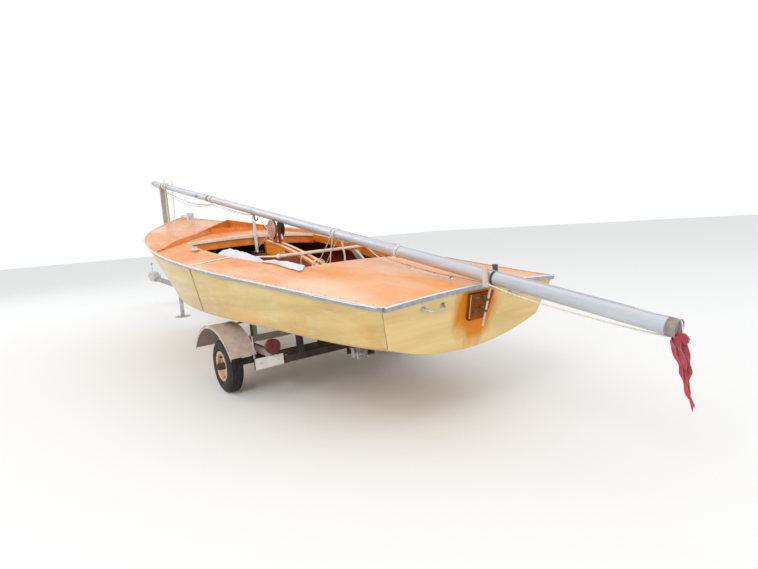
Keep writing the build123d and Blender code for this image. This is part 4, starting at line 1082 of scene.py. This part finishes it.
# A line from the crutch's port side aft to the rag
route = [(at(-0.100), 0.052, 0.838), (at(-0.250), 0.050, 0.794), (at(-0.440), 0.036, 0.752),
         (at(-0.640), 0.020, 0.714), (at(-0.830), 0.012, 0.684), (at(-0.960), 0.008, 0.668),
         (at(-1.046), 0.006, 0.668)]
made, length = cord_curve("aft_line", route, 0.0040, "rope")

# A line over the mast's end down to the rag's knot
route = [mast_point(-0.86, -0.0395, 0.004), mast_point(-0.96, -0.0405, 0.002),
         mast_point(-1.026, -0.0400, 0.0), (at(-1.040), 0.002, 0.715), KNOT]
tube("end_line", smooth_path(route, 6), 0.0036, "white_rope", sides=6)


def coil(centre, radius, turns, thick, seed=1):
    """Points of a rope coil lying on the deck, from its inner end to its loose end."""
    chance = Random(seed)
    points = []
    for k in range(12 * turns + 1):
        angle = 2 * pi * k / 12
        size = radius * (0.62 + 0.38 * k / (12 * turns))
        level = thick * (1 + 1.0 * (k // 12) % 3) + 0.002 * chance.random()
        x, y = centre[0] + size * cos(angle), centre[1] + size * 0.8 * sin(angle)
        ground = from_above(deck, x, y)[0]
        base = ground.z if ground else centre[2]
        points.append(Vector((x, y, base + level + thick * 2.2 * (k // 12))))
    return points


bow_route = coil((at(5.700), 0.010, 1.470), 0.062, 3, 0.005)
made, length = cord_curve("bow_coil", bow_route, 0.0040, "white_rope")

# Hoist lines from the reel: down to the prop's foot and up to the mast
route = [(at(2.645), 0.047, 1.190), (at(2.86), 0.043, 1.100), (at(3.100), 0.030, 1.012)]
tube("hoist_line", smooth_path(route, 6), 0.0042, "rope", sides=6)
route = [mast_point(2.93, 0.030, 0.020), (at(2.80), 0.040, 1.300), (at(2.632), 0.047, 1.205)]
tube("drum_line", smooth_path(route, 6), 0.0036, "rope", sides=6)

# Prop: dark sleeve on its foot and the hook under the mast
PROP_X = at(3.110)
PROP_Z = 1.0
shape = bmesh.new()
add_tube(shape, [(PROP_X, -0.060, PROP_Z), (PROP_X, 0.060, PROP_Z)], 0.0150, 16)
for side in (-0.056, 0.056):
    add_tube(shape, [(PROP_X, side - 0.006, PROP_Z), (PROP_X, side + 0.006, PROP_Z)], 0.0195, 16)
piece("prop_sleeve", shape, "black_plastic")
shape = bmesh.new()
hook = [mast_point(3.07, 0.036, 0.012), (at(3.055), 0.014, 1.352), (at(3.030), 0.010, 1.330),
        (at(3.000), 0.004, 1.342), (at(3.010), 0.002, 1.362)]
add_tube(shape, smooth_path(hook, 6), 0.0048, 8)
piece("prop_hook", shape, "dark_steel")

# Lines below the mast's aft part, with a shackle, and a loose loop on top of it
routes = [("wire_below", 0.0026, "galvanised",
           [mast_point(1.05, 0.036, 0.014), (at(0.88), 0.012, 0.972), (at(0.42), 0.012, 0.884),
            (at(0.19), 0.014, 0.862), (at(-0.052), 0.016, 0.836)]),
          ("rope_below", 0.0036, "rope",
           [mast_point(1.02, 0.030, 0.026), (at(0.90), 0.034, 0.966), (at(0.66), 0.038, 0.918),
            (at(0.42), 0.034, 0.876), (at(0.21), 0.030, 0.856)])]
for name, radius, look, route in routes:
    made, length = cord_curve(name, route, radius, look)
shape = bmesh.new()
bow = ring((at(0.195), 0.028, 0.846), (0.3, 1, 0.2), 0.013, 0.0, share=20)
add_tube(shape, bow, 0.0030, 8, closed=True)
add_tube(shape, [(at(0.195), 0.012, 0.861), (at(0.195), 0.044, 0.861)], 0.0048, 8)
piece("line_shackle", shape, "bright_steel")
route = [mast_point(1.02, 0.004, -0.0420), mast_point(0.94, -0.006, -0.050),
         mast_point(0.85, -0.026, -0.052), mast_point(0.77, -0.038, -0.050),
         mast_point(0.70, -0.030, -0.044), mast_point(0.61, -0.014, -0.043),
         mast_point(0.52, -0.010, -0.0415)]
made, length = cord_curve("top_line", route, 0.0042, "white_rope")

# A line down from the mast, the tiller's lanyard and a loose board against the starboard side
route = [mast_point(1.37, 0.036, 0.020), (at(1.362), 0.022, 1.040), (at(1.352), 0.016, 0.985),
         (at(1.356), 0.020, 0.900), (at(1.350), 0.014, 0.820)]
made, length = cord_curve("hanging_line", route, 0.0070, "rope")
route = [(at(1.985), 0.062, 0.974), (at(1.978), 0.074, 0.950), (at(1.972), 0.080, 0.900),
         (at(1.955), 0.084, 0.820)]
made, length = cord_curve("tiller_lanyard", route, 0.0036, "rope")
shape = bmesh.new()
along = Vector((at(1.37), -0.19, 0.868)) - Vector((at(1.79), -0.36, 0.983))
turn = along.to_track_quat("X", "Z").to_matrix().to_4x4()
add_block(shape, (at(1.58), -0.275, 0.9255), (along.length, 0.062, 0.014), turn, 0.003)
piece("loose_board", shape, "crutch_metal")

# Transom: gudgeons with their straps and bolts, the pad's edge and the handles' screws
transom = surface("transom", "rudder_pad")


def on_transom(side, height):
    """A point on the transom or its pad, and the normal there."""
    point, normal, _, _ = transom.ray_cast(Vector((BEHIND, side, height)), FORWARD)
    return point, normal


shape = bmesh.new()
for height in GUDGEON_HEIGHTS:
    for side in (-0.050, 0.050):
        point, normal = on_transom(side, height)
        add_block(shape, point + normal * 0.001, (0.003, 0.034, 0.015), bevel=0.001)
for side in (-0.058, 0.058):
    for height in GUDGEON_HEIGHTS:
        point, normal = on_transom(side, height)
        add_bolt(shape, point + normal * 0.0025, normal, 0.0045, 0.003, 6)
piece("gudgeon_straps", shape, "old_bronze")
shape = bmesh.new()
for height in GUDGEON_HEIGHTS:
    point, normal = on_transom(0.012, height)
    point.y = 0
    rod = point + normal * ROD_OFF
    along_rod = Vector((normal.z, 0, -normal.x))
    turn = normal.to_track_quat("X", "Z").to_matrix().to_4x4()
    add_block(shape, point + normal * ROD_OFF / 2, (ROD_OFF, 0.012, 0.010), turn, 0.001)
    add_block(shape, point + normal * 0.0015, (0.003, 0.070, 0.014), turn, 0.001)
    add_tube(shape, [rod - along_rod * 0.0065, rod + along_rod * 0.0065], ROD_RADIUS + 0.003, 20)
made = piece("pad_gudgeons", shape, "old_bronze")
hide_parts("gudgeons")
shape = bmesh.new()
edge_places = ((0.089, 0.775), (0.082, 0.720), (0.074, 0.668), (0.068, 0.636))
pad_edge = [on_transom(side, height)[0] for side, height in edge_places]
add_tube(shape, [p + Vector((-0.001, 0, 0)) for p in pad_edge], 0.0026, 6)
piece("pad_bead", shape, "crutch_metal")
shape = bmesh.new()
for middle in (-0.34, 0.34):
    for end in (-0.07, 0.07):
        point, normal = on_transom(middle + end, 0.749)
        for shift in (-0.009, 0.009):
            add_bolt(shape, point + Vector((-0.0045, shift, 0)), normal, 0.0036, 0.0025, 8)
piece("handle_screws", shape, "bright_steel")

# Trailer: clamps round the springs
shape = bmesh.new()
for hand in (1, -1):
    y = hand * SPRING_SIDE
    top = 0.2560
    for shift in (-0.034, 0.034):
        x = at(AXLE) + shift
        points = [(x, y - 0.026, 0.176), (x, y - 0.026, top), (x, y + 0.026, top), (x, y + 0.026, 0.176)]
        add_tube(shape, points, 0.0048, 8)
    add_block(shape, (at(AXLE), y, 0.1795), (0.095, 0.066, 0.006), bevel=0.001)
    for shift in (-0.034, 0.034):
        for side in (-0.026, 0.026):
            add_bolt(shape, (at(AXLE) + shift, y + side, 0.1765), (0, 0, -1), 0.0085, 0.007, 6)
piece("spring_clamps", shape, "dark_steel")

# Trailer: the aft bracket and its plate
shape = bmesh.new()
add_block(shape, (at(1.375), 0, 0.232), (0.006, 0.110, 0.060), bevel=0.001)
add_block(shape, (at(1.395), 0, 0.252), (0.040, 0.110, 0.006), bevel=0.001)
piece("aft_bracket_plate", shape, "dark_steel")
shape = bmesh.new()
for side in (-0.046, 0.046):
    add_block(shape, (at(1.305), side, 0.226), (0.044, 0.005, 0.072), bevel=0.001)
    add_block(shape, (at(1.240), side, 0.222), (0.012, 0.006, 0.080), bevel=0.001)
add_tube(shape, [(at(1.305), -0.052, 0.202), (at(1.305), 0.052, 0.202)], 0.0065, 10)
piece("aft_bracket", shape, "white_metal")

# Trailer: bolts on the crossmembers
FRAME_TOP = 0.3185
shape = bmesh.new()
for station in (CROSS_AFT, CROSS_FORE):
    for side in (-0.045, 0.045, -0.585, 0.585):
        add_bolt(shape, (at(station), side, FRAME_TOP), UP, 0.0085, 0.007, 6)
piece("frame_bolts", shape, "galvanised")

# Trailer: the lamps' rims and lenses, and the sleeves beside them
cross_half = 0.020
lamp_board = 0.008
back = at(CROSS_AFT - cross_half - lamp_board) - 0.0003
shape = bmesh.new()
lens = bmesh.new()
for hand in (1, -1):
    centre = (back - 0.032, hand * LAMP_SIDE, LAMP_Z)
    add_tube(shape, ring(centre, (1, 0, 0), 0.0505, 0.0, share=40), 0.0036, 8, closed=True)
    for size in (0.012, 0.026, 0.040):
        front = (back - 0.0338, hand * LAMP_SIDE, LAMP_Z)
        add_tube(lens, ring(front, (1, 0, 0), size, 0.0, share=36), 0.0016, 6, closed=True)
    add_bolt(lens, (back - 0.034, hand * LAMP_SIDE, LAMP_Z), (-1, 0, 0), 0.006, 0.004, 10)
piece("lamp_rims", shape, "lamp_red")
piece("lamp_lens", lens, "lamp_red")
shape = bmesh.new()
for hand in (1, -1):
    add_tube(shape, [(at(1.317), hand * 0.830, 0.352), (at(1.317), hand * 0.830, 0.506)], 0.0057, 10)
    add_block(shape, (at(1.3175), hand * LAMP_SIDE, 0.372), (0.0115, 0.0315, 0.040), bevel=0.001)
piece("guide_sleeves", shape, "galvanised")

# Trailer: the blank plate's border and bolts
shape = bmesh.new()
plate_x = back - 0.0026
low, high = 0.268, 0.346
left, right = 0.830, 0.620
margin = 0.006
border = [(plate_x, left - margin, high - margin), (plate_x, right + margin, high - margin),
          (plate_x, right + margin, low + margin), (plate_x, left - margin, low + margin)]
add_tube(shape, border, 0.0018, 6, closed=True)
piece("plate_border", shape, "plate_white")
shape = bmesh.new()
for side in (0.66, 0.79):
    add_bolt(shape, (plate_x, side, 0.307), (-1, 0, 0), 0.005, 0.003, 8)
piece("plate_bolts", shape, "galvanised")

# Trailer: the port lamp's cable along the frame
route = [(at(1.316), 0.690, 0.372), (at(1.33), 0.66, 0.345), (at(1.345), 0.60, 0.330),
         (at(1.42), 0.592, 0.3235), (at(1.60), 0.602, 0.3225), (at(1.85), 0.592, 0.3230),
         (at(2.15), 0.600, 0.3225)]
made, length = cord_curve("lamp_cable", route, 0.0032, "black_plastic")

# Fender: rolled edge and bolts
fender = surface("fender_port", "fender_starboard")
for hand, word in HANDS:
    shape = bmesh.new()
    for side in (0.745, 0.931):
        points = []
        for k in range(41):
            station = 1.500 + 0.850 * k / 40
            point = from_above(fender, at(station), hand * side)[0]
            if point is not None:
                points.append(point)
        add_tube(shape, points, 0.0042, 8)
    piece(f"fender_beads_{word}", shape, "fender_paint")
    shape = bmesh.new()
    for station in (1.855, 1.875):
        for side in (0.79, 0.82):
            point = from_above(fender, at(station), hand * side)[0]
            add_bolt(shape, point, (0, 0, 1), 0.0065, 0.005, 6)
    piece(f"fender_bolts_{word}", shape, "galvanised")

# Coupler: its housing, its nose and its bolts
shape = bmesh.new()
add_block(shape, (at(8.20), 0, 0.592), (0.42, 0.094, 0.092), bevel=0.030)
add_block(shape, (at(8.45), 0, 0.560), (0.20, 0.100, 0.070), Matrix.Rotation(0.20, 4, "Y"), 0.028)
for hand in (1, -1):
    for station, height in ((8.06, 0.505), (8.00, 0.500)):
        add_bolt(shape, (at(station), hand * 0.060, height), (0, hand, 0), 0.011, 0.009, 6)
piece("coupler_details", shape, "coupler_paint")

# Camera as in the photograph
eye = bpy.data.cameras.new("photo_camera")
eye.lens = 23.612
eye.sensor_width = 36.0
eye.clip_end = 200.0
camera = bpy.data.objects.new("photo_camera", eye)
camera.location = (-5.57968, 2.04338, 1.18724)
camera.rotation_euler = (radians(83.22207), radians(4.22052), radians(-126.14243))
bpy.context.scene.collection.objects.link(camera)
bpy.context.scene.camera = camera

# Floor, lights and sky of a pale studio
floor_mesh = bpy.data.meshes.new("floor")
reach = 40
corners = [(x * reach, y * reach, -0.001) for x, y in ((-1, -1), (1, -1), (1, 1), (-1, 1))]
floor_mesh.from_pydata(corners, [], [(0, 1, 2, 3)])
floor_look = bpy.data.materials.new("floor_paint")
floor_look.use_nodes = True
floor_shader = floor_look.node_tree.nodes["Principled BSDF"]
socket(floor_shader, "Base Color", (0.88, 0.88, 0.875, 1.0))
socket(floor_shader, "Roughness", 0.85)
floor_mesh.materials.append(floor_look)
floor = bpy.data.objects.new("floor", floor_mesh)
bpy.context.scene.collection.objects.link(floor)


def lamp(name, place, target, power, size, colour=(1, 1, 1)):
    """A soft square lamp turned to a target."""
    data = bpy.data.lights.new(name, "AREA")
    data.energy = power
    data.size = size
    data.color = colour
    made = bpy.data.objects.new(name, data)
    made.location = place
    made.rotation_euler = (Vector(target) - Vector(place)).to_track_quat("-Z", "Y").to_euler()
    bpy.context.scene.collection.objects.link(made)


lamp("key_lamp", (-7.0, 7.5, 8.0), (-0.5, 0, 0.8), 330, 5.0, (1.0, 0.985, 0.96))
lamp("fill_lamp", (-9.0, -5.0, 6.0), (-1.0, 0, 0.8), 120, 7.0, (0.98, 0.99, 1.0))
lamp("bow_lamp", (7.0, 4.0, 7.0), (1.0, 0, 1.0), 150, 5.0)

sky = bpy.data.worlds.new("studio")
bpy.context.scene.world = sky
sky.use_nodes = True
tree = sky.node_tree
tree.nodes.clear()
out = tree.nodes.new("ShaderNodeOutputWorld")
shown = tree.nodes.new("ShaderNodeBackground")
socket(shown, "Color", (1.0, 1.0, 1.0, 1.0))
socket(shown, "Strength", 1.0)
soft = tree.nodes.new("ShaderNodeBackground")
socket(soft, "Color", (0.985, 0.99, 1.0, 1.0))
socket(soft, "Strength", 0.88)
path = tree.nodes.new("ShaderNodeLightPath")
both = tree.nodes.new("ShaderNodeMixShader")
tree.links.new(path.outputs["Is Camera Ray"], both.inputs[0])
tree.links.new(soft.outputs[0], both.inputs[1])
tree.links.new(shown.outputs[0], both.inputs[2])
tree.links.new(both.outputs[0], out.inputs[0])
bpy.context.scene.view_settings.view_transform = "Standard"
